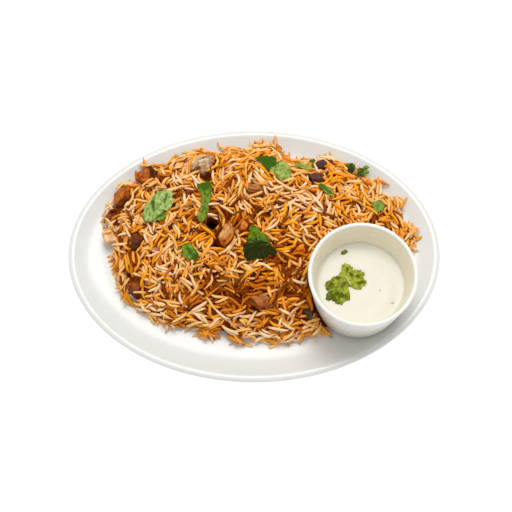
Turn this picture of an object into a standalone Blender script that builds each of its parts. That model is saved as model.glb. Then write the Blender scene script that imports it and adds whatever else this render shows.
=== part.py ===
"""Plate of biryani with a pot of raita, in metres.

The origin is the middle of the plate's foot, on the surface that it stands on. +X runs along the
plate's long axis, +Y to the side away from the pot, and +Z up. Each piece is one closed solid.
"""

import math

import bmesh
import bpy
import numpy as np
from mathutils import Matrix, Vector

# Driving dimensions
PLATE_LENGTH = 0.305
PLATE_WIDTH = 0.2195
PLATE_WELL_HEIGHT = 0.0090
PLATE_RIM_RISE = 0.0100
PLATE_RIM_WIDTH = 0.030
PLATE_RIM_CURVE = 2.2
PLATE_SHELL = 0.0046
PLATE_LIP_DROP = 0.0022
PLATE_RIM_INSETS = (0.030, 0.023, 0.016, 0.010, 0.0045)
PLATE_UNDER_INSETS = (0.009, 0.018)
PLATE_LIP_TURNS = (40, 5, -35, -75)
PLATE_FOOT_INSET = 0.046
PLATE_FOOT_WIDTH = 0.003
PLATE_FOOT_SLANT = 0.0015
PLATE_WELL_INSET = 0.055

POT_CENTRE = (0.0834, -0.0390)
POT_FOOT_HEIGHT = 0.0130
POT_HEIGHT = 0.059
POT_RIM_RADIUS = 0.0421
POT_BASE_RADIUS = 0.0345
POT_WALL = 0.0037
POT_FLOOR = 0.0050
POT_FLOOR_TURN = 0.0070
POT_FOOT_HOLLOW = 0.0012
POT_FOOT_HOLLOW_EDGE = 0.80
POT_FOOT_BEVEL = 0.0015
POT_RIM_FLAT = 0.0004
POT_RIM_TURNS = (0, 45, 90, 135, 180)
POT_FLOOR_STEPS = (0.045, 0.0070, 0.0030, 0.0008, 0.0)
POT_SPACE_ABOVE = 0.010
RAITA_DEPTH_BELOW_RIM = 0.026
RAITA_STEPS = (0.0, 0.0035, 0.0070)

HEAP_CENTRE = (0.006, 0.009)
HEAP_HALF_LENGTH = 0.131
HEAP_HALF_WIDTH = 0.090
HEAP_RISE = 0.035
HEAP_EDGE = 0.0035
HEAP_FLATNESS = 2.3
HEAP_FULLNESS = 0.8
HEAP_WAVE_RISE = 0.0012
HEAP_WAVES_LONG = (210, 30, 0.0)
HEAP_WAVES_CROSS = (-40, 230, 1.0)
HEAP_TOP_SHARES = (0.10, 0.21, 0.32, 0.43, 0.54, 0.65, 0.75, 0.84, 0.92, 1.0)
HEAP_FLOOR_SHARES = (1.0, 0.90, 0.80)

GAP = 0.0003
LEAF_THICKNESS = 0.0007
LEAF_LIFT = 0.0017
GARNISH_SINK = 0.0004

# The heap's outline: waves round it, each with a share of the radius and the turn of its crest
HEAP_LOBES = ((1, 0.036, 152), (3, 0.016, 74), (5, 0.024, 23), (8, 0.012, 200), (13, 0.010, 60))

# Mounds and hollows on the heap: place, rise and spread
HEAP_MOUNDS = (
    ((-0.072, 0.040), 0.006, 0.022),
    ((0.005, 0.062), 0.007, 0.024),
    ((-0.030, 0.020), -0.005, 0.014),
    ((0.060, 0.055), 0.004, 0.024),
    ((-0.070, -0.020), 0.004, 0.022),
    ((0.020, -0.030), 0.004, 0.026),
)

# Pieces of chicken and whole spice in the heap: place, length, width, height, turn in degrees, and
# how far the middle of the piece lies above the rice
CHUNKS = {
    "chicken_back": ((-0.0425, 0.0680), 0.027, 0.019, 0.015, 22, 0.0005),
    "chicken_back_left": ((-0.0900, 0.0641), 0.021, 0.017, 0.014, 20, 0.000),
    "chicken_oval": ((-0.1090, 0.0443), 0.022, 0.016, 0.014, 82, 0.001),
    "chicken_edge_dark": ((-0.1175, 0.0285), 0.014, 0.012, 0.010, 30, 0.000),
    "chicken_edge_pale": ((-0.1180, 0.0092), 0.016, 0.013, 0.010, 120, 0.001),
    "chicken_left": ((-0.0947, 0.0027), 0.015, 0.012, 0.012, 60, -0.001),
    "chicken_front_left": ((-0.0961, -0.0331), 0.018, 0.014, 0.012, 70, -0.001),
    "chicken_top": ((0.0016, 0.0407), 0.018, 0.014, 0.012, 160, -0.001),
    "chicken_middle": ((-0.0227, 0.0017), 0.021, 0.013, 0.014, 78, 0.000),
    "chicken_beside_leaf": ((-0.0085, 0.0090), 0.012, 0.009, 0.010, 80, -0.001),
    "chicken_right": ((0.0372, -0.0102), 0.012, 0.010, 0.009, 20, 0.000),
    "chicken_front": ((0.0063, -0.0502), 0.020, 0.013, 0.012, 170, -0.001),
    "spice_back": ((0.0545, 0.0683), 0.012, 0.010, 0.009, 40, 0.001),
    "spice_middle": ((0.0505, 0.0537), 0.015, 0.011, 0.010, 15, 0.000),
    "spice_by_pot": ((0.0425, -0.0574), 0.012, 0.009, 0.009, 100, 0.000),
}
CHUNK_ROUNDNESS = 2.7
CHUNK_LUMP = 0.05
CHUNK_FULLNESS = 1.10
CHUNK_TILT = 9
LARGE_CHUNK = 0.0165
LARGE_CHUNK_MESH = (11, 7)
SMALL_CHUNK_MESH = (8, 5)

# Coriander leaves: the middle, the radius of the blade between its lobes, and the lobes, each a
# round given by the offset of its middle from the leaf's and by its radius
LEAVES = {
    "leaf_left": ((-0.0779, 0.0295), 0.0050, (
        (0.0045, 0.0095, 0.0040), (0.0086, 0.0080, 0.0035), (0.0086, 0.0022, 0.0038),
        (0.0078, -0.0024, 0.0032), (0.0005, 0.0095, 0.0032), (-0.0030, 0.0062, 0.0030),
        (-0.0065, -0.0005, 0.0040), (-0.0078, -0.0045, 0.0038), (-0.0074, -0.0092, 0.0038),
        (-0.0025, -0.0100, 0.0036), (0.0036, -0.0096, 0.0036))),
    "leaf_long": ((-0.0396, 0.0330), 0.0027, (
        (-0.0046, 0.0120, 0.0030), (-0.0015, 0.0115, 0.0032), (0.0016, 0.0142, 0.0030),
        (0.0028, 0.0092, 0.0030), (0.0020, 0.0046, 0.0030), (0.0010, 0.0000, 0.0030),
        (0.0000, -0.0055, 0.0031), (-0.0014, -0.0110, 0.0032), (-0.0026, -0.0160, 0.0030))),
    "leaf_top": ((0.0164, 0.0605), 0.0045, (
        (-0.0118, 0.0102, 0.0030), (-0.0070, 0.0095, 0.0038), (-0.0018, 0.0090, 0.0038),
        (-0.0046, 0.0024, 0.0042), (0.0056, 0.0034, 0.0040), (0.0084, -0.0006, 0.0040),
        (0.0096, -0.0066, 0.0040), (0.0049, -0.0090, 0.0032))),
    "leaf_big": ((0.0040, -0.0073), 0.0060, (
        (-0.0054, 0.0136, 0.0026), (-0.0026, 0.0116, 0.0028), (-0.0044, 0.0070, 0.0038),
        (0.0020, 0.0040, 0.0046), (0.0046, -0.0008, 0.0042), (0.0086, -0.0046, 0.0032),
        (0.0110, -0.0070, 0.0026), (0.0036, -0.0074, 0.0040), (-0.0020, -0.0080, 0.0042),
        (-0.0072, -0.0086, 0.0042), (-0.0082, -0.0036, 0.0040), (-0.0060, 0.0016, 0.0038))),
    "leaf_small": ((-0.0504, -0.0121), 0.0030, (
        (-0.0036, 0.0032, 0.0029), (-0.0006, 0.0034, 0.0024), (0.0024, -0.0006, 0.0026),
        (0.0042, -0.0032, 0.0022), (0.0004, -0.0036, 0.0024), (-0.0030, -0.0016, 0.0026))),
    "leaf_right": ((0.1008, 0.0328), 0.0025, (
        (-0.0024, 0.0006, 0.0023), (0.0016, 0.0022, 0.0026), (0.0032, 0.0006, 0.0023),
        (0.0020, -0.0016, 0.0023), (-0.0008, -0.0036, 0.0024))),
    "leaf_sprig": ((0.0903, 0.0686), 0.0020, (
        (0.0036, 0.0044, 0.0022), (0.0018, 0.0002, 0.0020), (0.0032, -0.0016, 0.0018),
        (0.0006, -0.0038, 0.0020), (-0.0032, -0.0056, 0.0022), (-0.0018, -0.0004, 0.0020))),
    "leaf_curl": ((0.0817, 0.0718), 0.0020, (
        (-0.0022, 0.0018, 0.0024), (0.0002, 0.0024, 0.0025), (-0.0008, -0.0028, 0.0026),
        (-0.0012, -0.0048, 0.0022))),
    "leaf_slim_back": ((0.0404, 0.0646), 0.0020, (
        (-0.0048, 0.0008, 0.0022), (-0.0020, 0.0006, 0.0023), (0.0020, -0.0004, 0.0023),
        (0.0048, -0.0010, 0.0022))),
    "leaf_slim_right": ((0.0585, 0.0414), 0.0020, (
        (-0.0044, 0.0036, 0.0017), (-0.0016, 0.0014, 0.0023), (0.0016, -0.0014, 0.0023),
        (0.0042, -0.0040, 0.0016))),
}
GARNISH = ((0.0719, -0.0386), 0.0040, (
    (0.0002, 0.0130, 0.0032), (0.0034, 0.0112, 0.0030), (0.0078, 0.0086, 0.0034),
    (0.0120, 0.0064, 0.0034), (0.0128, 0.0016, 0.0032), (0.0116, -0.0026, 0.0030),
    (-0.0030, 0.0056, 0.0030), (-0.0080, 0.0020, 0.0034), (-0.0126, 0.0004, 0.0033),
    (-0.0122, -0.0048, 0.0032), (-0.0116, -0.0108, 0.0042), (-0.0072, -0.0116, 0.0040),
    (-0.0034, -0.0134, 0.0034), (0.0006, -0.0112, 0.0032)))
LEAF_POINTS = 40

PLATE_SEGMENTS = 56
POT_SEGMENTS = 40
HEAP_SEGMENTS = 60


def empty_scene():
    """Remove every object that the file opened with."""
    for item in list(bpy.data.objects):
        bpy.data.objects.remove(item, do_unlink=True)


def finish_material(name, colour, roughness):
    """A Principled material of one colour and one roughness."""
    material = bpy.data.materials.new(name)
    material.use_nodes = True
    shader = material.node_tree.nodes["Principled BSDF"]
    shader.inputs["Base Color"].default_value = (*colour, 1.0)
    shader.inputs["Roughness"].default_value = roughness
    shader.inputs["Metallic"].default_value = 0.0
    return material


def place_mesh(name, shape, material):
    """Turn a bmesh into a smooth-shaded object of the scene."""
    bmesh.ops.recalc_face_normals(shape, faces=shape.faces)
    mesh = bpy.data.meshes.new(name)
    shape.to_mesh(mesh)
    shape.free()
    mesh.shade_smooth()
    mesh.set_sharp_from_angle(angle=math.radians(40))
    mesh.materials.append(material)
    item = bpy.data.objects.new(name, mesh)
    bpy.context.scene.collection.objects.link(item)
    return item


def ring_solid(name, first_pole, rings, last_pole, material):
    """A closed skin over a stack of rings, with a fan of triangles to a pole at each end."""
    shape = bmesh.new()
    start = shape.verts.new(first_pole)
    loops = [[shape.verts.new(point) for point in ring] for ring in rings]
    end = shape.verts.new(last_pole)
    count = len(loops[0])
    for i in range(count):
        j = (i + 1) % count
        shape.faces.new((start, loops[0][i], loops[0][j]))
        shape.faces.new((end, loops[-1][j], loops[-1][i]))
        for near, far in zip(loops, loops[1:]):
            shape.faces.new((near[i], far[i], far[j], near[j]))
    return place_mesh(name, shape, material)


# Plate

def plate_edge(turn):
    """Point on the plate's oval edge, and the direction that faces out of it there."""
    half_length = PLATE_LENGTH / 2
    half_width = PLATE_WIDTH / 2
    edge = np.stack([half_length * np.cos(turn), half_width * np.sin(turn)], axis=-1)
    facing = np.stack([half_width * np.cos(turn), half_length * np.sin(turn)], axis=-1)
    return edge, facing / np.linalg.norm(facing, axis=-1, keepdims=True)


PLATE_EDGE_POINTS = plate_edge(np.linspace(0, math.tau, 1440, endpoint=False))[0]


def face_height(inset):
    """Height of the plate's upper face at a distance in from the edge: a flat well, a rising rim."""
    slope = np.clip(PLATE_RIM_WIDTH - inset, 0, None) / PLATE_RIM_WIDTH
    return PLATE_WELL_HEIGHT + PLATE_RIM_RISE * slope ** PLATE_RIM_CURVE


def plate_top(x, y):
    """Height of the plate's upper face under a point."""
    offsets = PLATE_EDGE_POINTS - np.stack([x, y], axis=-1)[..., None, :]
    return face_height(np.linalg.norm(offsets, axis=-1).min(axis=-1))


def make_plate(material):
    """Oval plate: flat well, gently rising rim, rounded lip and a foot ring."""
    under = PLATE_WELL_HEIGHT - PLATE_SHELL
    profile = [(PLATE_WELL_INSET, PLATE_WELL_HEIGHT)]
    profile += [(inset, float(face_height(inset))) for inset in PLATE_RIM_INSETS]
    lip_radius = PLATE_SHELL / 2
    lip_height = float(face_height(PLATE_RIM_INSETS[-1])) - PLATE_LIP_DROP
    for angle in np.radians(PLATE_LIP_TURNS):
        profile.append((lip_radius * (1 - math.cos(angle)), lip_height + lip_radius * math.sin(angle)))
    profile += [(inset, float(face_height(inset)) - PLATE_SHELL) for inset in PLATE_UNDER_INSETS]
    foot_in = PLATE_FOOT_INSET + PLATE_FOOT_WIDTH
    profile += [(PLATE_FOOT_INSET - PLATE_FOOT_SLANT, under), (PLATE_FOOT_INSET, 0.0)]
    profile += [(foot_in, 0.0), (foot_in + PLATE_FOOT_SLANT, under)]
    edge, facing = plate_edge(np.arange(PLATE_SEGMENTS) * math.tau / PLATE_SEGMENTS)
    rings = []
    for inset, height in profile:
        rings.append(np.column_stack([edge - inset * facing, np.full(PLATE_SEGMENTS, height)]))
    return ring_solid("plate", (0, 0, PLATE_WELL_HEIGHT), rings, (0, 0, under), material)


# Pot of raita

def circle(radius, height):
    """Points of a level circle round the pot's axis."""
    turn = np.arange(POT_SEGMENTS) * math.tau / POT_SEGMENTS
    x = POT_CENTRE[0] + radius * np.cos(turn)
    y = POT_CENTRE[1] + radius * np.sin(turn)
    return np.stack([x, y, np.full(POT_SEGMENTS, height)], axis=1)


def pot_outer_radius(height):
    """Outer radius of the pot's straight, flared wall at a height above its foot."""
    return POT_BASE_RADIUS + (POT_RIM_RADIUS - POT_BASE_RADIUS) * height / POT_HEIGHT


def pot_inner_radius(height):
    """Inner radius of the pot at a height above its foot, with a round turn into the floor."""
    below = np.clip(POT_FLOOR + POT_FLOOR_TURN - height, 0, POT_FLOOR_TURN)
    inset = POT_FLOOR_TURN - np.sqrt(POT_FLOOR_TURN ** 2 - below ** 2)
    return float(pot_outer_radius(height) - POT_WALL - inset)


def make_pot(material):
    """Round pot: flared wall, rounded rim, flat foot with a shallow hollow under it."""
    hollow_edge = POT_FOOT_HOLLOW_EDGE * POT_BASE_RADIUS
    outline = [(hollow_edge, POT_FOOT_HOLLOW), (hollow_edge + POT_FOOT_BEVEL, 0.0)]
    outline += [(POT_BASE_RADIUS - POT_FOOT_BEVEL, 0.0), (POT_BASE_RADIUS, POT_FOOT_BEVEL)]
    rim_round = POT_WALL / 2 - POT_RIM_FLAT
    rim_middle = POT_RIM_RADIUS - rim_round
    for angle in np.radians(POT_RIM_TURNS):
        height = POT_HEIGHT - rim_round * (1 - math.sin(angle))
        outline.append((rim_middle + rim_round * math.cos(angle), height))
    for step in POT_FLOOR_STEPS:
        outline.append((pot_inner_radius(POT_FLOOR + step), POT_FLOOR + step))
    rings = [circle(radius, POT_FOOT_HEIGHT + height) for radius, height in outline]
    underside = (*POT_CENTRE, POT_FOOT_HEIGHT + POT_FOOT_HOLLOW)
    floor = (*POT_CENTRE, POT_FOOT_HEIGHT + POT_FLOOR)
    return ring_solid("dip_pot", underside, rings, floor, material)


def make_pot_space(material):
    """Cutter: the pot's outside, a little larger, that presses its place into the heap."""
    clear = 2 * GAP
    above = POT_HEIGHT + POT_SPACE_ABOVE
    low = circle(POT_BASE_RADIUS + clear, POT_FOOT_HEIGHT - clear)
    high = circle(pot_outer_radius(above) + clear, POT_FOOT_HEIGHT + above)
    low_pole = (*POT_CENTRE, POT_FOOT_HEIGHT - clear)
    high_pole = (*POT_CENTRE, POT_FOOT_HEIGHT + above)
    return ring_solid("pot_space", low_pole, [low, high], high_pole, material)


RAITA_LEVEL = POT_HEIGHT - RAITA_DEPTH_BELOW_RIM


def make_raita(material, garnish_space):
    """Raita that fills the pot up to its level, with the garnish's place pressed into it."""
    rings = []
    for height in (*(POT_FLOOR + GAP + step for step in RAITA_STEPS), RAITA_LEVEL):
        rings.append(circle(pot_inner_radius(height - GAP) - GAP, POT_FOOT_HEIGHT + height))
    low = (*POT_CENTRE, POT_FOOT_HEIGHT + POT_FLOOR + GAP)
    high = (*POT_CENTRE, POT_FOOT_HEIGHT + RAITA_LEVEL)
    raita = ring_solid("raita", low, rings, high, material)
    cut_away(raita, garnish_space)
    return raita


# Heap of rice

def outline_waves(turn):
    """Share of the radius by which the heap's outline stands out of its oval, in each direction."""
    return sum(share * np.cos(count * turn - math.radians(crest)) for count, share, crest in HEAP_LOBES)


def heap_share(x, y):
    """How far out a point lies in the heap, from 0 in the middle to 1 on its uneven outline."""
    along = x - HEAP_CENTRE[0]
    across = y - HEAP_CENTRE[1]
    oval = np.hypot(along / HEAP_HALF_LENGTH, across / HEAP_HALF_WIDTH)
    return oval / (1 + outline_waves(np.arctan2(across, along)) * np.clip(oval, 0, 1) ** 2)


def heap_top(x, y):
    """Height of the rice: a dome over the outline, with mounds, hollows and small waves."""
    share = np.clip(heap_share(x, y), 0, 1)
    height = HEAP_EDGE + HEAP_RISE * (1 - share ** HEAP_FLATNESS) ** HEAP_FULLNESS
    fade = 1 - share ** 4
    for place, rise, spread in HEAP_MOUNDS:
        away = np.hypot(x - place[0], y - place[1])
        height = height + rise * fade * np.exp(-0.5 * (away / spread) ** 2)
    waves = 1.0
    for along, across, phase in (HEAP_WAVES_LONG, HEAP_WAVES_CROSS):
        waves = waves * np.sin(along * x + across * y + phase)
    return plate_top(x, y) + height + HEAP_WAVE_RISE * fade * waves


def heap_floor(x, y):
    """Height of the heap's underside, just clear of the plate."""
    return plate_top(x, y) + 2 * GAP


def make_heap(material, cutters):
    """One solid of rice out to its outline, hollowed where the pot and the chunks sit in it."""
    turn = np.arange(HEAP_SEGMENTS) * math.tau / HEAP_SEGMENTS

    def ring_at(share, height_of):
        edge = 1 + outline_waves(turn)
        oval = share * edge
        for _ in range(4):
            oval = share * (1 + (edge - 1) * np.clip(oval, 0, 1) ** 2)
        reach = oval / np.hypot(np.cos(turn) / HEAP_HALF_LENGTH, np.sin(turn) / HEAP_HALF_WIDTH)
        x = HEAP_CENTRE[0] + reach * np.cos(turn)
        y = HEAP_CENTRE[1] + reach * np.sin(turn)
        return np.stack([x, y, height_of(x, y)], axis=1)

    rings = [ring_at(share, heap_top) for share in HEAP_TOP_SHARES]
    rings += [ring_at(share, heap_floor) for share in HEAP_FLOOR_SHARES]
    top = (*HEAP_CENTRE, float(heap_top(*np.array(HEAP_CENTRE))))
    bottom = (*HEAP_CENTRE, PLATE_WELL_HEIGHT + 2 * GAP)
    heap = ring_solid("rice_heap", top, rings, bottom, material)
    for cutter in cutters:
        cut_away(heap, cutter)
    return heap


# Chicken and whole spice

def make_chunk(name, spec, order, swell, material):
    """A rounded block with uneven lumps, part sunk in the rice; swell makes it larger all round."""
    place, length, width, height, turn, lift = spec
    columns, rows = LARGE_CHUNK_MESH if length > LARGE_CHUNK else SMALL_CHUNK_MESH
    shape = bmesh.new()
    bmesh.ops.create_uvsphere(shape, u_segments=columns, v_segments=rows, radius=1.0)
    phase = 1.7 * order
    for vert in shape.verts:
        x, y, z = vert.co
        block = sum(abs(part) ** CHUNK_ROUNDNESS for part in (x, y, z)) ** (1 / CHUNK_ROUNDNESS)
        lump = math.sin(3.1 * x + phase) + math.sin(4.3 * y - 2 * phase) + math.sin(3.7 * z + 3 * phase)
        vert.co = vert.co / block * (1 + CHUNK_LUMP * lump)
    half = Vector((length, width, height)) / (2 * CHUNK_FULLNESS)
    grown = half + Vector((swell, swell, swell))
    centre = Vector((*place, float(heap_top(*np.array(place))) + lift))
    tilt = Matrix.Rotation(math.radians(CHUNK_TILT * math.sin(2.3 * order)), 4, "Y")
    spin = Matrix.Rotation(math.radians(turn), 4, "Z")
    settle = Matrix.Translation(centre) @ spin @ tilt @ Matrix.Diagonal((*grown, 1))
    bmesh.ops.transform(shape, matrix=settle, verts=shape.verts)
    return place_mesh(name, shape, material)


# Coriander leaves

def leaf_outline(blade, lobes, swell):
    """The leaf's edge: in each direction the farthest point of the round blade and of its lobes."""
    turn = np.arange(LEAF_POINTS) * math.tau / LEAF_POINTS
    reach = np.full(LEAF_POINTS, blade)
    for x, y, radius in lobes:
        ahead = x * np.cos(turn) + y * np.sin(turn)
        aside = x * np.sin(turn) - y * np.cos(turn)
        meets = (ahead > 0) & (np.abs(aside) < radius)
        far = ahead + np.sqrt(np.clip(radius ** 2 - aside ** 2, 0, None))
        reach = np.where(meets, np.maximum(reach, far), reach)
    return (reach + swell) * np.cos(turn), (reach + swell) * np.sin(turn)


def make_leaf(name, spec, base_of, swell, material):
    """A thin lobed leaf that follows the surface under it; swell makes it larger all round."""
    place, blade, lobes = spec
    x, y = leaf_outline(blade, lobes, swell)
    x = place[0] + x
    y = place[1] + y
    edge = base_of(x, y)
    middle = float(base_of(np.array(place[0]), np.array(place[1])))
    top = LEAF_THICKNESS + swell
    rings = [np.stack([x, y, edge + top], axis=1), np.stack([x, y, edge - swell], axis=1)]
    return ring_solid(name, (*place, middle + top), rings, (*place, middle - swell), material)


def on_the_rice(x, y):
    """Height at which a leaf's underside lies on the rice."""
    return heap_top(x, y) + LEAF_LIFT


def on_the_raita(x, y):
    """Height of the garnish's underside, a little below the raita's level."""
    return np.zeros_like(x) + POT_FOOT_HEIGHT + RAITA_LEVEL - GARNISH_SINK


# Cutting

def hide_cutter(item):
    """Keep a cutter out of the model: it only shapes another piece."""
    item.hide_render = True
    item.display_type = "WIRE"
    return item


def cut_away(item, cutter):
    """Cut the cutter's shape out of the item with an exact Boolean."""
    cut = item.modifiers.new("cut " + cutter.name, "BOOLEAN")
    cut.operation = "DIFFERENCE"
    cut.solver = "EXACT"
    cut.object = cutter


empty_scene()

glaze = finish_material("white_glaze", (0.85, 0.85, 0.82), 0.25)
yogurt = finish_material("raita", (0.88, 0.86, 0.76), 0.35)
rice = finish_material("rice", (0.80, 0.42, 0.18), 0.55)
chicken = finish_material("chicken", (0.45, 0.20, 0.08), 0.50)
herb = finish_material("coriander", (0.10, 0.26, 0.05), 0.50)
spice = finish_material("whole_spice", (0.12, 0.05, 0.03), 0.50)

make_plate(glaze)
make_pot(glaze)
make_leaf("raita_leaf", GARNISH, on_the_raita, 0.0, herb)
garnish_space = hide_cutter(make_leaf("garnish_space", GARNISH, on_the_raita, GAP, herb))
make_raita(yogurt, garnish_space)

heap_cutters = [hide_cutter(make_pot_space(glaze))]
for order, (name, spec) in enumerate(CHUNKS.items()):
    make_chunk(name, spec, order, 0.0, spice if name.startswith("spice") else chicken)
    heap_cutters.append(hide_cutter(make_chunk(name + "_space", spec, order, 1.5 * GAP, chicken)))
make_heap(rice, heap_cutters)

for name, spec in LEAVES.items():
    make_leaf(name, spec, on_the_rice, 0.0, herb)
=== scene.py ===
"""Looks of a plate of chicken biryani with a pot of raita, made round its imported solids, in metres."""

import math

import bmesh
import bpy
import numpy as np
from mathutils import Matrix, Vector
from mathutils.bvhtree import BVHTree


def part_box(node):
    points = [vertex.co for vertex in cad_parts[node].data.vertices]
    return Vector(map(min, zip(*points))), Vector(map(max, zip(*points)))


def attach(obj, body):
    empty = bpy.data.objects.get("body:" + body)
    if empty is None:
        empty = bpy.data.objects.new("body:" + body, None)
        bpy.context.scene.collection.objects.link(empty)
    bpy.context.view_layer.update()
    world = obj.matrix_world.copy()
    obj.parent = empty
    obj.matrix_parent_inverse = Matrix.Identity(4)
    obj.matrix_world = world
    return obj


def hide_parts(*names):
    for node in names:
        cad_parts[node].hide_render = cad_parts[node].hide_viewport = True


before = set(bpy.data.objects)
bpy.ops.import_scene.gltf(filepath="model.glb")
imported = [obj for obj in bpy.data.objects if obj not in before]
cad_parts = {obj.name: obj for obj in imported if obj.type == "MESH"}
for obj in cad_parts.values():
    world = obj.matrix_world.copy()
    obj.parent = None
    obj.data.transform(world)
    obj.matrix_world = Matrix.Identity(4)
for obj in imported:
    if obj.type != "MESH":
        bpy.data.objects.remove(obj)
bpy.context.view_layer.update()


# Plate
# An oval serving plate of stoneware under a white glaze. It is pressed in a mould, with a flat
# well, a rim that rises gently to a rounded lip, and a foot ring that is wiped clean of glaze.

PLATE_HALF_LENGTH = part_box("plate")[1].x
PLATE_HALF_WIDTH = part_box("plate")[1].y
WELL_HEIGHT = 0.0090
RIM_RISE = 0.0100
RIM_WIDTH = 0.030
RIM_CURVE = 2.2
PLATE_SHELL = 0.0046
LIP_INSET = 0.0045
LIP_DROP = 0.0022
FOOT_INSET = 0.046
FOOT_WIDTH = 0.003
FOOT_ROUND = 0.0008
WELL_STEPS = (0.075, 0.055, 0.042, 0.035)
LIP_ARC = (60, -80)
UNDERSIDE = (0.006, 0.040)
PLATE_COLUMNS = 224

# The foot ring's side: how far each point stands out from it, over the table and under the plate
FOOT_LOW = ((-0.0006, 0.0), (0.0002, FOOT_ROUND))
FOOT_HIGH = ((0.0012, FOOT_ROUND), (0.0022, 0.0))


def display(red, green, blue):
    """A colour as seen on a display, 0 to 255 a channel, turned into the linear values of light."""
    share = np.array([red, green, blue]) / 255
    linear = np.where(share > 0.04045, ((share + 0.055) / 1.055) ** 2.4, share / 12.92)
    return (*linear.tolist(), 1.0)


def fill_inputs(tree, node, values):
    """Give a node's inputs their values, and links where a value comes out of another node."""
    for name, value in values.items():
        if isinstance(value, Value):
            tree.links.new(value.socket, node.inputs[name])
        else:
            node.inputs[name].default_value = value


class Value:
    """A socket of a material's nodes. Python's operators on it add Math nodes."""

    def __init__(self, tree, socket):
        self.tree = tree
        self.socket = socket

    def node(self, kind, settings, inputs, output=0):
        """Add a shader node: first its settings, then the values or links of its sockets."""
        made = self.tree.nodes.new("ShaderNode" + kind)
        for name, setting in settings.items():
            if name == "stops":
                while len(made.color_ramp.elements) < len(setting):
                    made.color_ramp.elements.new(0.5)
                for stop, (place, colour) in zip(made.color_ramp.elements, setting):
                    stop.position = place
                    stop.color = colour
            else:
                setattr(made, name, setting)
        fill_inputs(self.tree, made, inputs)
        return Value(self.tree, made.outputs[output])

    def maths(self, operation, first, second=0.0):
        """A Math node, which does one operation on two numbers."""
        return self.node("Math", {"operation": operation}, {0: first, 1: second})

    def __add__(self, other):
        return self.maths("ADD", self, other)

    def __sub__(self, other):
        return self.maths("SUBTRACT", self, other)

    def __rsub__(self, other):
        return self.maths("SUBTRACT", other, self)

    def __mul__(self, other):
        return self.maths("MULTIPLY", self, other)

    # Sums and products are the same either way round
    __radd__ = __add__
    __rmul__ = __mul__

    def rises(self, low, high):
        """0 below low, 1 above high and a smooth step between them."""
        settings = {"interpolation_type": "SMOOTHSTEP"}
        return self.node("MapRange", settings, {0: self, 1: low, 2: high})

    def axis(self, letter):
        """One coordinate of a vector."""
        return self.node("SeparateXYZ", {}, {0: self}, letter)

    def scaled(self, x, y, z):
        """The vector with each coordinate times its own factor."""
        return self.node("VectorMath", {"operation": "MULTIPLY"}, {0: self, 1: (x, y, z)})

    def noise(self, scale, detail=2.0, roughness=0.5):
        """A cloudy pattern from 0 to 1 over this vector; scale is its cells to the metre."""
        inputs = {"Vector": self, "Scale": scale, "Detail": detail, "Roughness": roughness}
        return self.node("TexNoise", {}, inputs, "Fac")

    def mix(self, start, end):
        """The colour between two, at this share of the way from start to end."""
        return self.node("Mix", {"data_type": "RGBA"}, {"Factor": self, 6: start, 7: end}, 2)

    def bump(self, distance, strength=1.0):
        """A normal tilted as if this value were a height, one unit of which is the distance."""
        return self.node("Bump", {}, {"Height": self, "Distance": distance, "Strength": strength})

    def mark(self, name, output="Vector"):
        """What the piece's mesh holds under this name: a vector, or with output Fac a number."""
        return self.node("Attribute", {"attribute_name": name}, {}, output)


def make_finish(name, paint):
    """A Principled material. paint takes the place on the object and gives the shader's inputs."""
    material = bpy.data.materials.new(name)
    material.use_nodes = True
    tree = material.node_tree
    shader = tree.nodes["Principled BSDF"]
    place = Value(tree, tree.nodes.new("ShaderNodeTexCoord").outputs["Object"])
    fill_inputs(tree, shader, paint(place))
    return material


def add_object(name, data):
    """A new object in the scene, with its mesh, light or camera."""
    made = bpy.data.objects.new(name, data)
    bpy.context.scene.collection.objects.link(made)
    return made


def make_piece(name, points, face_sets, material):
    """A smooth-shaded mesh object from an array of points and arrays of faces' corners."""
    corners = np.concatenate([faces.ravel() for faces in face_sets])
    sizes = np.concatenate([np.full(len(faces), faces.shape[1]) for faces in face_sets])
    mesh = bpy.data.meshes.new(name)
    mesh.vertices.add(len(points))
    mesh.vertices.foreach_set("co", np.asarray(points, np.float32).ravel())
    mesh.loops.add(len(corners))
    mesh.loops.foreach_set("vertex_index", corners.astype(np.int32))
    mesh.polygons.add(len(sizes))
    mesh.polygons.foreach_set("loop_start", (np.cumsum(sizes) - sizes).astype(np.int32))
    mesh.update(calc_edges=True)
    mesh.validate()
    mesh.shade_smooth()
    mesh.materials.append(material)
    piece = add_object(name, mesh)
    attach(piece, "root")
    return piece


def mark_points(piece, name, values):
    """Keep a number or a vector for each point of a piece's mesh, for its material to read."""
    kind, field = ("FLOAT", "value") if np.ndim(values) == 1 else ("FLOAT_VECTOR", "vector")
    piece.data.attributes.new(name, kind, "POINT").data.foreach_set(field, values.ravel())


def closed_skin(rings, first_pole, last_pole):
    """Points and faces of a skin over rings of points, (rings, points, 3), closed at both ends."""
    rows, columns = rings.shape[:2]
    points = np.concatenate([rings.reshape(-1, 3), [first_pole, last_pole]])
    near = np.arange(columns)
    far = np.roll(near, -1)
    start = (np.arange(rows - 1) * columns)[:, None]
    quads = np.stack([start + near, start + far, start + columns + far, start + columns + near], axis=-1)
    poles = rows * columns
    first_fan = np.stack([np.full(columns, poles), far, near], axis=1)
    last_row = poles - columns
    last_fan = np.stack([np.full(columns, poles + 1), last_row + near, last_row + far], axis=1)
    return points, [quads.reshape(-1, 4), first_fan, last_fan]


def all_round(count):
    """Directions spread evenly over a full turn."""
    return np.arange(count) * math.tau / count


def rim_height(inset):
    """Height of the plate's upper face: the well's, plus a rise by the power of how far out it is."""
    slope = np.clip(RIM_WIDTH - inset, 0, None) / RIM_WIDTH
    return WELL_HEIGHT + RIM_RISE * slope ** RIM_CURVE


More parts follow.
